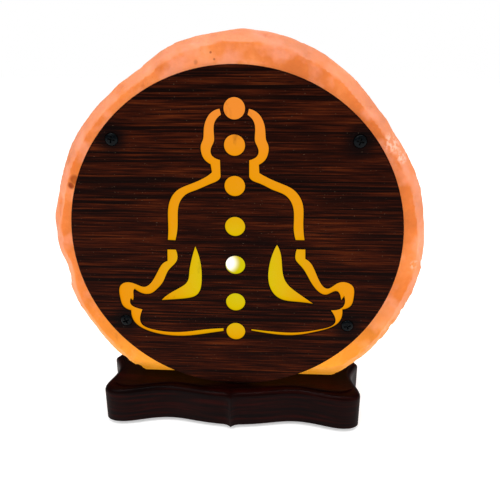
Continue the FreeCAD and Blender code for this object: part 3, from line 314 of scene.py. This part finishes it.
def rock_salt():
    material, tree, shader, place = new_material(
        "hewn_rock_salt", IOR=1.54, Subsurface_Weight=0.3, Subsurface_Scale=1.0,
    )
    shader.inputs["Specular IOR Level"].default_value = 0.07
    shader.inputs["Subsurface Radius"].default_value = (9 * MM, 3.5 * MM, 1.2 * MM)
    clouds = grain(tree, place, 34, 3)
    veins = grain(tree, place, 13, 5, (1, 1, 2.6), (0.3, 0.5, 0.2), 0.65)
    crystals = add(tree, "ShaderNodeTexVoronoi", {"Vector": place, "Scale": 1 / 2.6}).outputs["Color"]
    crystal_tone = add(tree, "ShaderNodeSeparateColor", {"Color": crystals}).outputs[0]
    body_tone = calc(tree, "MULTIPLY_ADD", crystal_tone, 0.06, calc(tree, "MULTIPLY", clouds, 0.97))
    colour = ramp(tree, body_tone, [
        (0.34, paint("#b45c22")), (0.50, paint("#c66a2c")), (0.62, paint("#d0783c")),
        (0.76, paint("#dc9064")),
    ])
    y = add(tree, "ShaderNodeSeparateXYZ", {"Vector": place}).outputs["Y"]
    # Painted light: where the surface leans round the rim, on the bevel, the base colour is made paler and
    # pinker, as the room's light falls there.
    leaning = {"Value": surface_normal(tree)["Y"], "From Min": -0.95, "From Max": -0.80}
    bevelled = add(tree, "ShaderNodeMapRange", leaning).outputs["Result"]
    colour = mix(tree, bevelled, colour, mix(tree, 0.30, colour, paint("#e8b09a")))
    rust = calc(tree, "MULTIPLY", ramp(tree, veins, [(0.62, grey(0)), (0.74, grey(1))]), 0.4)
    colour = mix(tree, rust, colour, paint("#a84a24"))
    patchy = calc(tree, "MULTIPLY", clouds, 1.6, clamp=True)
    stain = calc(tree, "MULTIPLY", most(tree, [near(tree, place, spot, 0.45) for spot in STAINS]), patchy)
    colour = mix(tree, stain, colour, paint("#7a2208"))
    flakes = ramp(tree, grain(tree, place, 2.2, 3), [(0.46, grey(0)), (0.54, grey(1))])
    frost = calc(tree, "MULTIPLY", most(tree, [near(tree, place, spot, 0.4) for spot in FROST]), flakes)
    colour = mix(tree, calc(tree, "MULTIPLY", frost, 0.45), colour, paint("#f6dccf"))
    pink_clouds = grain(tree, place, 19, 3, turn=(0.4, 0.2, 0.9))
    pink = ramp(tree, pink_clouds, [(0.50, grey(0)), (0.64, grey(1))])
    colour = mix(tree, calc(tree, "MULTIPLY", pink, 0.5), colour, paint("#e29a80"))
    amber_clouds = grain(tree, place, 26, 3, turn=(1.1, 0.7, 0.1))
    amber = ramp(tree, amber_clouds, [(0.54, grey(0)), (0.68, grey(1))])
    colour = mix(tree, calc(tree, "MULTIPLY", amber, 0.6), colour, paint("#cf6f1c"))

    # Painted shade: behind the panel the salt keeps the glow of its face, but its base colour is made dark,
    # as the panel keeps the room's light off it.
    middle = (PANEL_MIDDLE[0], 0, PANEL_MIDDLE[2])
    from_middle = apart(tree, across_face(tree, place), middle)
    covered = calc(tree, "MULTIPLY",
                   calc(tree, "LESS_THAN", from_middle, PANEL_RADIUS - 0.5),
                   calc(tree, "LESS_THAN", y, PANEL_MIDDLE[1] + 3))
    face_glow, share = glow_behind_panel(tree, place)
    # Painted light: towards the foot the glow is made yellower and stronger, and the base colour is made
    # yellower with it.
    height = add(tree, "ShaderNodeSeparateXYZ", {"Vector": place}).outputs["Z"]
    low_down = add(tree, "ShaderNodeMapRange", {
        "Value": height, "From Min": 95, "From Max": 35,
    }).outputs["Result"]
    colour = mix(tree, calc(tree, "MULTIPLY", low_down, 0.6), colour, paint("#c88028"))
    block_glow = ramp(tree, share, [
        (0.15, paint("#ffb02c")), (0.45, paint("#f99322")), (0.62, paint("#f3873c")),
        (0.80, paint("#ee8450")), (1.0, paint("#e88660")),
    ])
    block_glow = mix(tree, low_down, block_glow, paint("#ffa81c"))
    hot = near(tree, place, HOT_PATCH, 0.35)
    strength = ramp(tree, share, [
        (0.15, grey(1.0)), (0.40, grey(0.72)), (0.62, grey(0.37)), (1.0, grey(0.16)),
    ])
    strength = calc(tree, "MULTIPLY", strength, calc(tree, "MULTIPLY_ADD", low_down, 0.35, 1.0))
    strength = calc(tree, "MULTIPLY", strength, calc(tree, "MULTIPLY_ADD", clouds, 0.8, 0.52))
    dimmed = calc(tree, "SUBTRACT", 1.0, calc(tree, "MAXIMUM", rust, stain), clamp=True)
    strength = calc(tree, "MULTIPLY", strength, dimmed)
    face_strength = calc(tree, "MULTIPLY", calc(tree, "MULTIPLY_ADD", hot, 0.4, 0.92), dimmed)
    face_colour = mix(tree, hot, face_glow, paint("#fffdf2"))
    tree.links.new(mix(tree, covered, block_glow, face_colour), shader.inputs["Emission Color"])
    tree.links.new(mix(tree, covered, strength, face_strength), shader.inputs["Emission Strength"])
    # Painted shade: the base colour is dark brown where the panel covers the salt.
    tree.links.new(mix(tree, covered, colour, paint("#2a1400")), shader.inputs["Base Color"])
    rough = calc(tree, "MULTIPLY_ADD", crystal_tone, 0.25, 0.40)
    tree.links.new(rough, shader.inputs["Roughness"])
    coarse = bump(tree, grain(tree, place, 7, 4, roughness=0.55), 0.8)
    crystal_cells = add(tree, "ShaderNodeTexVoronoi", {"Vector": place, "Scale": 1 / 2.2}, feature="F1")
    facets = crystal_cells.outputs["Distance"]
    tree.links.new(bump(tree, facets, 0.2, under=coarse), shader.inputs["Normal"])
    return material


SALT = rock_salt()
print("made", SALT.name)

# %% [markdown]
# The small parts are ordinary stock: screws of steel, blackened or zinc plated, brass contacts,
# phenolic and steatite mouldings, nylon plugs, rubber feet. Each differs in how rough it is and how
# evenly it is coloured, and a fine noise breaks up what would otherwise look like plain paint.

# %% Stock finishes


def stock(name, dark, light, blotch, rough, rough_spread, depth, stretch=(1, 1, 1), **shader):
    """A finish between two close colours, unevenly rough; blotch and depth are in millimetres."""
    material, tree, principled, place = new_material(name, **shader)
    tone = grain(tree, place, blotch, 4, stretch)
    colour = ramp(tree, tone, [(0.32, paint(dark)), (0.68, paint(light))])
    tree.links.new(colour, principled.inputs["Base Color"])
    roughness = calc(tree, "MULTIPLY_ADD", tone, rough_spread, rough - rough_spread / 2)
    tree.links.new(roughness, principled.inputs["Roughness"])
    fine = grain(tree, place, blotch / 6, 3, stretch)
    tree.links.new(bump(tree, fine, depth), principled.inputs["Normal"])
    return material


RUBBER = stock("moulded_natural_rubber", "#161616", "#242322", 1.2, 0.78, 0.14, 0.05, IOR=1.52)
ZINC = stock("zinc_plated_steel", "#8f9296", "#b9bbbd", 1.4, 0.32, 0.16, 0.01, Metallic=1.0)
BLACKENED = stock("blackened_steel", "#010305", "#03080c", 1.0, 0.30, 0.14, 0.02, IOR=1.3,
                  Specular_IOR_Level=0.2)
NYLON = stock("moulded_nylon", "#cfcdc4", "#dedcd4", 2.5, 0.48, 0.1, 0.02, IOR=1.53)
PHENOLIC = stock("moulded_phenolic", "#0d0b0a", "#1c1815", 3.0, 0.30, 0.12, 0.015, IOR=1.6)
STEATITE = stock("unglazed_steatite", "#d8d1c2", "#e9e4d8", 1.2, 0.62, 0.1, 0.03, IOR=1.55)
BRASS = stock("pressed_brass", "#b08a3c", "#d8b866", 1.6, 0.28, 0.16, 0.01, Metallic=1.0)
SPRING = stock("rolled_spring_steel", "#84878c", "#a9abae", 0.9, 0.3, 0.14, 0.008, (8, 8, 1), Metallic=1.0)
SOLDER = stock("tin_solder", "#8f8f8c", "#b4b4b0", 0.8, 0.42, 0.2, 0.03, Metallic=1.0)
TINNED = stock("satin_aluminium", "#b9b8b4", "#d6d5d1", 1.2, 0.3, 0.14, 0.01, Metallic=1.0)
BLACK_GLASS = stock("black_glass_bead", "#05050a", "#101018", 1.5, 0.08, 0.05, 0.005, IOR=1.52)
print("made", len(bpy.data.materials), "materials")

# %% [markdown]
# The bulb is clear glass, but a lit bulb is mostly glare: pale yellow round the filament, amber at
# the neck. The glass therefore lets light through and also gives off a little of its own.

# %% Glass and filament


def lit_glass():
    material, tree, shader, place = new_material(
        "clear_soda_lime_glass", Roughness=0.06, IOR=1.52, Transmission_Weight=0.9,
    )
    shader.inputs["Base Color"].default_value = paint("#ffe9c4")
    hot = near(tree, place, (0, 0, 101, 17), 0.5)
    tree.links.new(mix(tree, hot, paint("#e88a14"), paint("#ffd98a")), shader.inputs["Emission Color"])
    tree.links.new(calc(tree, "MULTIPLY_ADD", hot, 0.25, 0.12), shader.inputs["Emission Strength"])
    tree.links.new(bump(tree, grain(tree, place, 6, 2), 0.05), shader.inputs["Normal"])
    return material


def plain_glass():
    material, tree, shader, place = new_material(
        "drawn_lead_glass", Roughness=0.05, IOR=1.56, Transmission_Weight=0.95,
    )
    tree.links.new(bump(tree, grain(tree, place, 3, 2), 0.03), shader.inputs["Normal"])
    shader.inputs["Base Color"].default_value = paint("#f4f6f2")
    return material


def hot_wire():
    material, tree, shader, place = new_material("hot_tungsten", Roughness=0.4, Metallic=1.0)
    heat = grain(tree, place, 1.5, 1)
    colour = ramp(tree, heat, [(0.3, paint("#ffe0a0")), (0.7, paint("#fff4dc"))])
    tree.links.new(colour, shader.inputs["Emission Color"])
    shader.inputs["Emission Strength"].default_value = 12.0
    return material


LIT_GLASS = lit_glass()
STEM_GLASS = plain_glass()
TUNGSTEN = hot_wire()
print("made", LIT_GLASS.name, STEM_GLASS.name, TUNGSTEN.name)

# %% [markdown]
# A CAD node whose shape is right stays as it is and only gets its finish.

# %% Finishes of the CAD nodes

FINISHES = {
    "base": LACQUER, "front_panel": WOOD, "salt_block": SALT,
    "foot_front_left": RUBBER, "foot_front_right": RUBBER,
    "foot_rear_left": RUBBER, "foot_rear_right": RUBBER,
    "base_screws": ZINC, "base_plugs": NYLON, "panel_screws": BLACKENED, "panel_plugs": NYLON,
    "holder_cap": PHENOLIC, "holder_sleeve": PHENOLIC, "holder_core": STEATITE,
    "thread_shell": BRASS, "centre_contact": BRASS, "side_contact": BRASS, "terminal_screws": BRASS,
    "spring_clip": SPRING, "bulb_tip": SOLDER, "bulb_insulator": BLACK_GLASS, "bulb_cap": TINNED,
    "bulb_glass": LIT_GLASS, "bulb_stem": STEM_GLASS, "bulb_leads": SOLDER, "bulb_filament": TUNGSTEN,
}
for node_name, finish in FINISHES.items():
    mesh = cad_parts[node_name].data
    mesh.materials.clear()
    mesh.materials.append(finish)
print("finished", len(FINISHES), "CAD nodes of", len(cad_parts))

# %% [markdown]
# ## The hewn block
# Salt is split and hewn, not cast: broad flats with soft ridges between them, small bites out of the
# rim, and a granular skin. A copy of the CAD block is remeshed finely, and each point is pushed in
# by a few millimetres at most, never out, so the block keeps its size. Where something fits it, at
# the panel, the foot and the bore, nothing moves.

# %% The salt, hewn


def merged_copy(node_name):
    """A copy of a CAD node's mesh with its loose triangles joined."""
    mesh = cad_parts[node_name].data.copy()
    shape = bmesh.new()
    shape.from_mesh(mesh)
    bmesh.ops.remove_doubles(shape, verts=shape.verts, dist=1e-6)
    shape.to_mesh(mesh)
    shape.free()
    return mesh


def show(name, mesh, material, body, slot, *nodes):
    """A finished piece: its mesh, its finish, its body and the nodes it stands for; the slot is not used.
    """
    piece = bpy.data.objects.new(name, mesh)
    bpy.context.scene.collection.objects.link(piece)
    mesh.materials.clear()
    mesh.materials.append(material)
    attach(piece, body)
    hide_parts(*nodes)
    return piece


def made_plain(source):
    """The result of a helper object's modifiers as a plain mesh; the helper goes."""
    mesh = bpy.data.meshes.new_from_object(source.evaluated_get(bpy.context.evaluated_depsgraph_get()))
    bpy.data.objects.remove(source)
    return mesh


def ease(value, low, high):
    """Zero below low, one above high, smooth between."""
    share = min(max((value - low) / (high - low), 0.0), 1.0)
    return share * share * (3 - 2 * share)


# Bands of millimetres over which the hewing starts, next to what has to stay true
OVER_FOOT = (28.4, 31.5)
ROUND_BORE = (22.0, 27.0)
OVER_BORE = (134, 140)
ROUND_PANEL = (100.2, 102.5)
BEHIND_PANEL = (-29.6, -27.0)


def bite(point):
    """How far a point of the block is hewn in. The point and the answer are in millimetres."""
    x, y, z = point
    from_bore = math.hypot(x, y)
    from_middle = math.hypot(x, z - PANEL_MIDDLE[2])
    free = ease(z, *OVER_FOOT) * max(ease(from_bore, *ROUND_BORE), ease(z, *OVER_BORE))
    free *= max(ease(from_middle, *ROUND_PANEL), ease(y, *BEHIND_PANEL))
    spots, corners = noise.voronoi(Vector(point) / 19)
    facet = min((spots[1] - spots[0]) * 2.4, 1.0)
    ridge = (1 - facet) * 0.25 + abs(noise.noise(Vector(point) / 31)) * 2.0
    soft = (noise.noise(Vector(point) / 9) * 0.5 + 0.5) * 0.6
    rough = (noise.noise(Vector(point) / 3.2) * 0.5 + 0.5) * 0.3
    chips = max(0.0, noise.noise(Vector(point) / 7 + Vector((5, 1, 9))) - 0.28) * 4.0
    at_rim = ease(from_middle, 104, 112) * (1 - ease(abs(abs(y) - 27), 3, 9))
    return free * (ridge + soft + rough + chips * at_rim)


def hewn_salt():
    helper = bpy.data.objects.new("salt_helper", merged_copy("salt_block"))
    bpy.context.scene.collection.objects.link(helper)
    remesh = helper.modifiers.new("fine", "REMESH")
    remesh.mode = "VOXEL"
    remesh.voxel_size = 2.0 * MM
    mesh = made_plain(helper)
    moved = [
        vertex.co - vertex.normal * bite(tuple(vertex.co / MM)) * MM
        for vertex in mesh.vertices
    ]
    low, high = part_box("salt_block")
    for vertex, place in zip(mesh.vertices, moved):
        vertex.co = [min(max(p, a), b) for p, a, b in zip(place, low, high)]
    mesh.shade_smooth()
    return show("hewn_salt_block", mesh, SALT, "lamp_body", "rock_salt", "salt_block")


salt = hewn_salt()
print("salt:", len(salt.data.polygons), "faces")

# %% [markdown]
# ## Screws
# Four oval-headed screws hold the panel, all alike but each stopped at its own turn. One tree makes
# the screw: the helper mesh is half its outline, which is swept round a circle as on a lathe, and two
# bars cut the driver's cross. A grid of two by two points carries the four copies.

# %% Trees with named inputs


def new_tree(name, sockets):
    """An empty geometry tree, its input sockets by name, and its output node."""
    tree = bpy.data.node_groups.new(name, "GeometryNodeTree")
    tree.interface.new_socket("Geometry", in_out="INPUT", socket_type="NodeSocketGeometry")
    for label, kind in sockets.items():
        tree.interface.new_socket(label, in_out="INPUT", socket_type="NodeSocket" + kind)
    tree.interface.new_socket("Geometry", in_out="OUTPUT", socket_type="NodeSocketGeometry")
    return tree, add(tree, "NodeGroupInput").outputs, add(tree, "NodeGroupOutput")


def finished(tree, geometry, material, end):
    """Make the copies real, give them the finish and hand them on."""
    real = add(tree, "GeometryNodeRealizeInstances", {"Geometry": geometry}).outputs["Geometry"]
    dressed = add(tree, "GeometryNodeSetMaterial", {"Geometry": real, "Material": material})
    tree.links.new(dressed.outputs["Geometry"], end.inputs["Geometry"])


def grown(tree, values, points=((0, 0, 0),), edges=(), wall=0.0):
    """The tree's result on a helper of these points, as a plain mesh, with a wall if asked."""
    mesh = bpy.data.meshes.new(tree.name)
    mesh.from_pydata([Vector(point) for point in points], edges, [])
    helper = bpy.data.objects.new(tree.name, mesh)
    bpy.context.scene.collection.objects.link(helper)
    modifier = helper.modifiers.new("tree", "NODES")
    modifier.node_group = tree
    for item in tree.interface.items_tree:
        if item.in_out == "INPUT" and item.name in values:
            modifier[item.identifier] = values[item.name]
    if wall:
        shell = helper.modifiers.new("wall", "SOLIDIFY")
        shell.thickness = wall
        shell.offset = -1
    return made_plain(helper)


def welded(tree, geometry, distance):
    """Points that lie on each other made one."""
    inputs = {"Geometry": geometry, "Distance": distance}
    return add(tree, "GeometryNodeMergeByDistance", inputs).outputs["Geometry"]


def combine(tree, x=0.0, y=0.0, z=0.0):
    """A vector from three numbers or sockets."""
    return add(tree, "ShaderNodeCombineXYZ", {"X": x, "Y": y, "Z": z}).outputs["Vector"]


# %% The panel's screws


def screw_tree():
    tree, given, end = new_tree("screws", {
        "Across": "Float", "Up": "Float", "Place": "Vector", "Slot": "Float", "Slot Width": "Float",
        "Slot Depth": "Float", "Top": "Float", "Seed": "Int", "Finish": "Material",
    })
    half_outline = add(tree, "GeometryNodeMeshToCurve", {"Mesh": given["Geometry"]}).outputs["Curve"]
    lathe = add(tree, "GeometryNodeCurvePrimitiveCircle", {"Resolution": 40, "Radius": 1e-6})
    turned = add(tree, "GeometryNodeCurveToMesh", {
        "Curve": lathe.outputs["Curve"], "Profile Curve": half_outline,
    }).outputs["Mesh"]
    closed = welded(tree, turned, 4e-6)
    bars = []
    for long_way in (True, False):
        sides = (given["Slot"], given["Slot Width"]) if long_way else (given["Slot Width"], given["Slot"])
        depth = calc(tree, "MULTIPLY", given["Slot Depth"], 2.0)
        bar = add(tree, "GeometryNodeMeshCube", {"Size": combine(tree, *sides, depth)}).outputs["Mesh"]
        lifted = combine(tree, z=given["Top"])
        placed = add(tree, "GeometryNodeTransform", {"Geometry": bar, "Translation": lifted})
        bars.append(placed.outputs["Geometry"])
    cut = add(tree, "GeometryNodeMeshBoolean", {"Mesh 1": closed}, operation="DIFFERENCE", solver="EXACT")
    for bar in bars:
        tree.links.new(bar, cut.inputs["Mesh 2"])
    corners = add(tree, "GeometryNodeMeshGrid", {
        "Size X": given["Across"], "Size Y": given["Up"], "Vertices X": 2, "Vertices Y": 2,
    }).outputs["Mesh"]
    upright = add(tree, "GeometryNodeTransform", {
        "Geometry": corners, "Rotation": (math.radians(90), 0, 0), "Translation": given["Place"],
    }).outputs["Geometry"]
    spin = add(tree, "FunctionNodeRandomValue", {"Seed": given["Seed"]}, data_type="FLOAT")
    spin.inputs[3].default_value = math.radians(90)
    facing = combine(tree, math.radians(90), spin.outputs[1], 0.0)
    copies = add(tree, "GeometryNodeInstanceOnPoints", {
        "Points": upright, "Instance": cut.outputs["Mesh"], "Rotation": facing,
    }).outputs["Instances"]
    finished(tree, copies, given["Finish"], end)
    return tree


SCREW_LOW, SCREW_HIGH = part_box("panel_screws")
HEAD, SHANK, DOME, LENGTH = 3.7, 1.6, 1.2, 22.0  # millimetres: two radii and two heights
ROUNDING = 7                                     # straight runs that make up the dome
dome = [
    (HEAD * math.sin(step / ROUNDING * math.pi / 2), 0, DOME * math.cos(step / ROUNDING * math.pi / 2))
    for step in range(ROUNDING + 1)
]
outline = dome + [(SHANK, 0, SHANK - HEAD), (SHANK, 0, SHANK * 2 - LENGTH), (0, 0, -LENGTH)]
middle = (SCREW_LOW + SCREW_HIGH) / 2
screw_mesh = grown(screw_tree(), {
    "Across": SCREW_HIGH.x - SCREW_LOW.x - 2 * HEAD * MM, "Up": SCREW_HIGH.z - SCREW_LOW.z - 2 * HEAD * MM,
    "Place": (middle.x, SCREW_LOW.y + DOME * MM, middle.z), "Slot": 4.2 * MM, "Slot Width": 0.9 * MM,
    "Slot Depth": 1.6 * MM, "Top": DOME * MM, "Seed": 4, "Finish": BLACKENED,
}, [(x * MM, -z * MM, 0) for x, y, z in outline], [(i, i + 1) for i in range(len(outline) - 1)])
show("oval_head_screws", screw_mesh, BLACKENED, "lamp_body", "black_screw", "panel_screws")
print("screws:", len(screw_mesh.polygons), "faces")

# %% [markdown]
# ## The bulb's thread
# The cap of a bulb is thin metal with a round thread rolled into it, so the inside shows the same
# waves as the outside. That shape follows a rule: the radius swings once for every pitch of height,
# and the swing runs round with the angle. A flat grid is rolled up by that rule, and a thin wall
# is added inwards.

# %% The threaded cap

# Shares of the cap's height
FOOT_ENDS = 0.10
THREAD_ENDS = (0.72, 0.80)
FLARE_STARTS = 0.88


def thread_tree():
    tree, given, end = new_tree("rolled_thread", {
        "Radius": "Float", "Bottom": "Float", "Height": "Float", "Pitch": "Float", "Depth": "Float",
        "Drawn In": "Float", "Flare": "Float", "Finish": "Material",
    })
    sheet = add(tree, "GeometryNodeMeshGrid", {
        "Size X": 1.0, "Size Y": 1.0, "Vertices X": 73, "Vertices Y": 121,
    }).outputs["Mesh"]
    spot = add(tree, "ShaderNodeSeparateXYZ", {"Vector": add(tree, "GeometryNodeInputPosition").outputs[0]})
    angle = calc(tree, "MULTIPLY", calc(tree, "ADD", spot.outputs["X"], 0.5), 2 * math.pi)
    share = calc(tree, "ADD", spot.outputs["Y"], 0.5)
    height = calc(tree, "MULTIPLY", share, given["Height"])
    turns = calc(tree, "MULTIPLY", calc(tree, "DIVIDE", height, given["Pitch"]), 2 * math.pi)
    swing = calc(tree, "SUBTRACT", 1.0, calc(tree, "COSINE", calc(tree, "SUBTRACT", turns, angle)))
    foot = eased(tree, share, 0.0, FOOT_ENDS)
    mouth = eased(tree, share, FLARE_STARTS, 1.0)
    threaded = calc(tree, "MULTIPLY", foot, eased(tree, share, *THREAD_ENDS, 1.0, 0.0))
    groove = calc(tree, "MULTIPLY", swing, given["Depth"])
    sunk = calc(tree, "MULTIPLY", groove, calc(tree, "MULTIPLY", threaded, 0.5))
    radius = calc(tree, "SUBTRACT", given["Radius"], sunk)
    drawn = calc(tree, "MULTIPLY", given["Drawn In"], calc(tree, "SUBTRACT", 1.0, foot))
    radius = calc(tree, "SUBTRACT", radius, drawn)
    radius = calc(tree, "MULTIPLY_ADD", given["Flare"], mouth, radius)
    place = combine(tree, calc(tree, "MULTIPLY", radius, calc(tree, "COSINE", angle)),
                    calc(tree, "MULTIPLY", radius, calc(tree, "SINE", angle)),
                    calc(tree, "ADD", height, given["Bottom"]))
    moved = add(tree, "GeometryNodeSetPosition", {"Geometry": sheet, "Position": place})
    rolled = moved.outputs["Geometry"]
    closed = welded(tree, rolled, 1e-6)
    smooth = add(tree, "GeometryNodeSetShadeSmooth", {"Geometry": closed}).outputs["Geometry"]
    finished(tree, smooth, given["Finish"], end)
    return tree


CAP_LOW, CAP_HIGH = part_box("bulb_cap")
cap_mesh = grown(thread_tree(), {
    "Radius": 6.9 * MM, "Bottom": CAP_LOW.z, "Height": CAP_HIGH.z - CAP_LOW.z, "Pitch": 2.82 * MM,
    "Depth": 0.55 * MM, "Drawn In": 1.1 * MM, "Flare": 0.7 * MM, "Finish": TINNED,
}, wall=0.25 * MM)
show("threaded_bulb_cap", cap_mesh, TINNED, "bulb", "cap_metal", "bulb_cap")
print("bulb cap:", len(cap_mesh.polygons), "faces")

# %% [markdown]
# ## The filament
# Tungsten wire is wound into a fine coil and hung in an arch between its two leads. The arch is a
# quadratic curve; each of its points is pushed round it to make the coil, and the wire is swept
# along that. The real coil has hundreds of turns, finer than a pixel, so this one has 26.

# %% The filament coil

TURNS = 26
POINTS_A_TURN = 12


def filament_tree():
    tree, given, end = new_tree("coiled_wire", {
        "Left": "Vector", "Top": "Vector", "Right": "Vector", "Coil": "Float", "Wire": "Float",
        "Turns": "Float", "Finish": "Material",
    })
    arch = add(tree, "GeometryNodeCurveQuadraticBezier", {
        "Resolution": 64, "Start": given["Left"], "Middle": given["Top"], "End": given["Right"],
    }).outputs["Curve"]
    points = {"Curve": arch, "Count": TURNS * POINTS_A_TURN}
    fine = add(tree, "GeometryNodeResampleCurve", points).outputs["Curve"]
    share = add(tree, "GeometryNodeSplineParameter").outputs["Factor"]
    angle = calc(tree, "MULTIPLY", calc(tree, "MULTIPLY", share, given["Turns"]), 2 * math.pi)
    along = add(tree, "GeometryNodeInputTangent").outputs["Tangent"]
    crossed = add(tree, "ShaderNodeVectorMath", {0: along, 1: (0, 1, 0)}, operation="CROSS_PRODUCT")
    outward = crossed.outputs["Vector"]
    up = add(tree, "ShaderNodeVectorMath", {
        0: outward, "Scale": calc(tree, "MULTIPLY", calc(tree, "COSINE", angle), given["Coil"]),
    }, operation="SCALE").outputs["Vector"]
    side = combine(tree, y=calc(tree, "MULTIPLY", calc(tree, "SINE", angle), given["Coil"]))
    offset = add(tree, "ShaderNodeVectorMath", {0: up, 1: side}, operation="ADD").outputs["Vector"]
    coiled = add(tree, "GeometryNodeSetPosition", {"Geometry": fine, "Offset": offset}).outputs["Geometry"]
    section = add(tree, "GeometryNodeCurvePrimitiveCircle", {"Resolution": 6, "Radius": given["Wire"]})
    wire = add(tree, "GeometryNodeCurveToMesh", {
        "Curve": coiled, "Profile Curve": section.outputs["Curve"], "Fill Caps": True,
    }).outputs["Mesh"]
    finished(tree, wire, given["Finish"], end)
    return tree


WIRE_LOW, WIRE_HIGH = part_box("bulb_filament")
COIL = 0.22 * MM
WIRE = 0.07 * MM
inset = COIL + WIRE
rise = WIRE_HIGH.z - WIRE_LOW.z - inset
filament_mesh = grown(filament_tree(), {
    "Left": (WIRE_LOW.x + inset, 0, WIRE_LOW.z + WIRE), "Top": (0, 0, WIRE_LOW.z + 2 * rise),
    "Right": (WIRE_HIGH.x - inset, 0, WIRE_LOW.z + WIRE), "Coil": COIL, "Wire": WIRE, "Turns": float(TURNS),
    "Finish": TUNGSTEN,
})
show("filament_coil", filament_mesh, TUNGSTEN, "bulb", "hot_filament", "bulb_filament")
print("filament:", len(filament_mesh.polygons), "faces")

# %% [markdown]
# ## Camera, floor and light
# The photograph was taken from close by and a little above, slightly to the right of the middle.
# The place and angle come from fitting the panel's circle and its dots. The floor and the room are
# plain and pale, and the lights are large and soft.

# %% Camera

FOCAL_PIXELS = 514.4
FRAME_PIXELS = 500
SENSOR = 36.0
LENS_PLACE = Vector((23.76, -327.06, 223.35)) * MM
AHEAD = Vector((-0.04750, 0.94494, -0.32377))
RIGHT = Vector((0.99869, 0.05102, 0.00237))

camera_data = bpy.data.cameras.new("camera")
camera_data.lens = FOCAL_PIXELS / FRAME_PIXELS * SENSOR
camera_data.sensor_width = SENSOR
camera_data.clip_start = 0.01
camera = bpy.data.objects.new("camera", camera_data)
above = RIGHT.cross(AHEAD)
turned = Matrix((RIGHT, above, -AHEAD)).transposed()
camera.matrix_world = Matrix.Translation(LENS_PLACE) @ turned.to_4x4()
bpy.context.scene.collection.objects.link(camera)
bpy.context.scene.camera = camera
print("lens:", round(camera_data.lens, 2), "mm")

# %% Floor


def make_floor():
    material, tree, shader, place = new_material("matt_white_paper", Roughness=0.9, Emission_Strength=0.42)
    tone = grain(tree, place, 300, 2)
    colour = ramp(tree, tone, [(0, paint("#f4f4f4")), (1, paint("#fbfbfb"))])
    tree.links.new(colour, shader.inputs["Base Color"])
    half = 30.0
    mesh = bpy.data.meshes.new("floor")
    corners = [(-half, -half, 0), (half, -half, 0), (half, half, 0), (-half, half, 0)]
    mesh.from_pydata(corners, [], [(0, 1, 2, 3)])
    mesh.materials.append(material)
    floor = bpy.data.objects.new("floor", mesh)
    bpy.context.scene.collection.objects.link(floor)


make_floor()

# %% Lights


def area_light(name, place, aim, size, power):
    """A soft light of a width and height at a place, aimed at a point; all in metres."""
    data = bpy.data.lights.new(name, "AREA")
    data.shape = "RECTANGLE"
    data.size, data.size_y = size
    data.energy = power
    light = bpy.data.objects.new(name, data)
    light.location = place
    light.rotation_euler = (Vector(aim) - Vector(place)).to_track_quat("-Z", "Y").to_euler()
    bpy.context.scene.collection.objects.link(light)
    return light


area_light("key", (-0.5, -0.7, 1.0), (0, 0, 0.1), (0.7, 0.7), 3)
area_light("fill", (0.8, -0.6, 0.6), (0, 0, 0.1), (0.8, 0.8), 1)
area_light("back", (0.1, 0.9, 0.9), (0, 0, 0.15), (0.8, 0.8), 3)
area_light("strip", (0.05, -0.35, 0.85), (0, 0, 0.05), (0.8, 0.03), 2.0)

SEEN, ON_DULL, ON_GLOSSY = 1.0, 0.7, 0.12  # how bright the room is to the camera and to surfaces
world = bpy.data.worlds.new("pale_room")
world.use_nodes = True
room = world.node_tree
rays = add(room, "ShaderNodeLightPath").outputs
surfaces = calc(room, "MULTIPLY_ADD", rays["Is Glossy Ray"], ON_GLOSSY - ON_DULL, ON_DULL)
extra = calc(room, "MULTIPLY", rays["Is Camera Ray"], calc(room, "SUBTRACT", SEEN, surfaces))
background = room.nodes["Background"]
background.inputs["Color"].default_value = (1, 1, 1, 1)
room.links.new(calc(room, "ADD", surfaces, extra), background.inputs["Strength"])
bpy.context.scene.world = world
bpy.context.scene.view_settings.view_transform = "Standard"
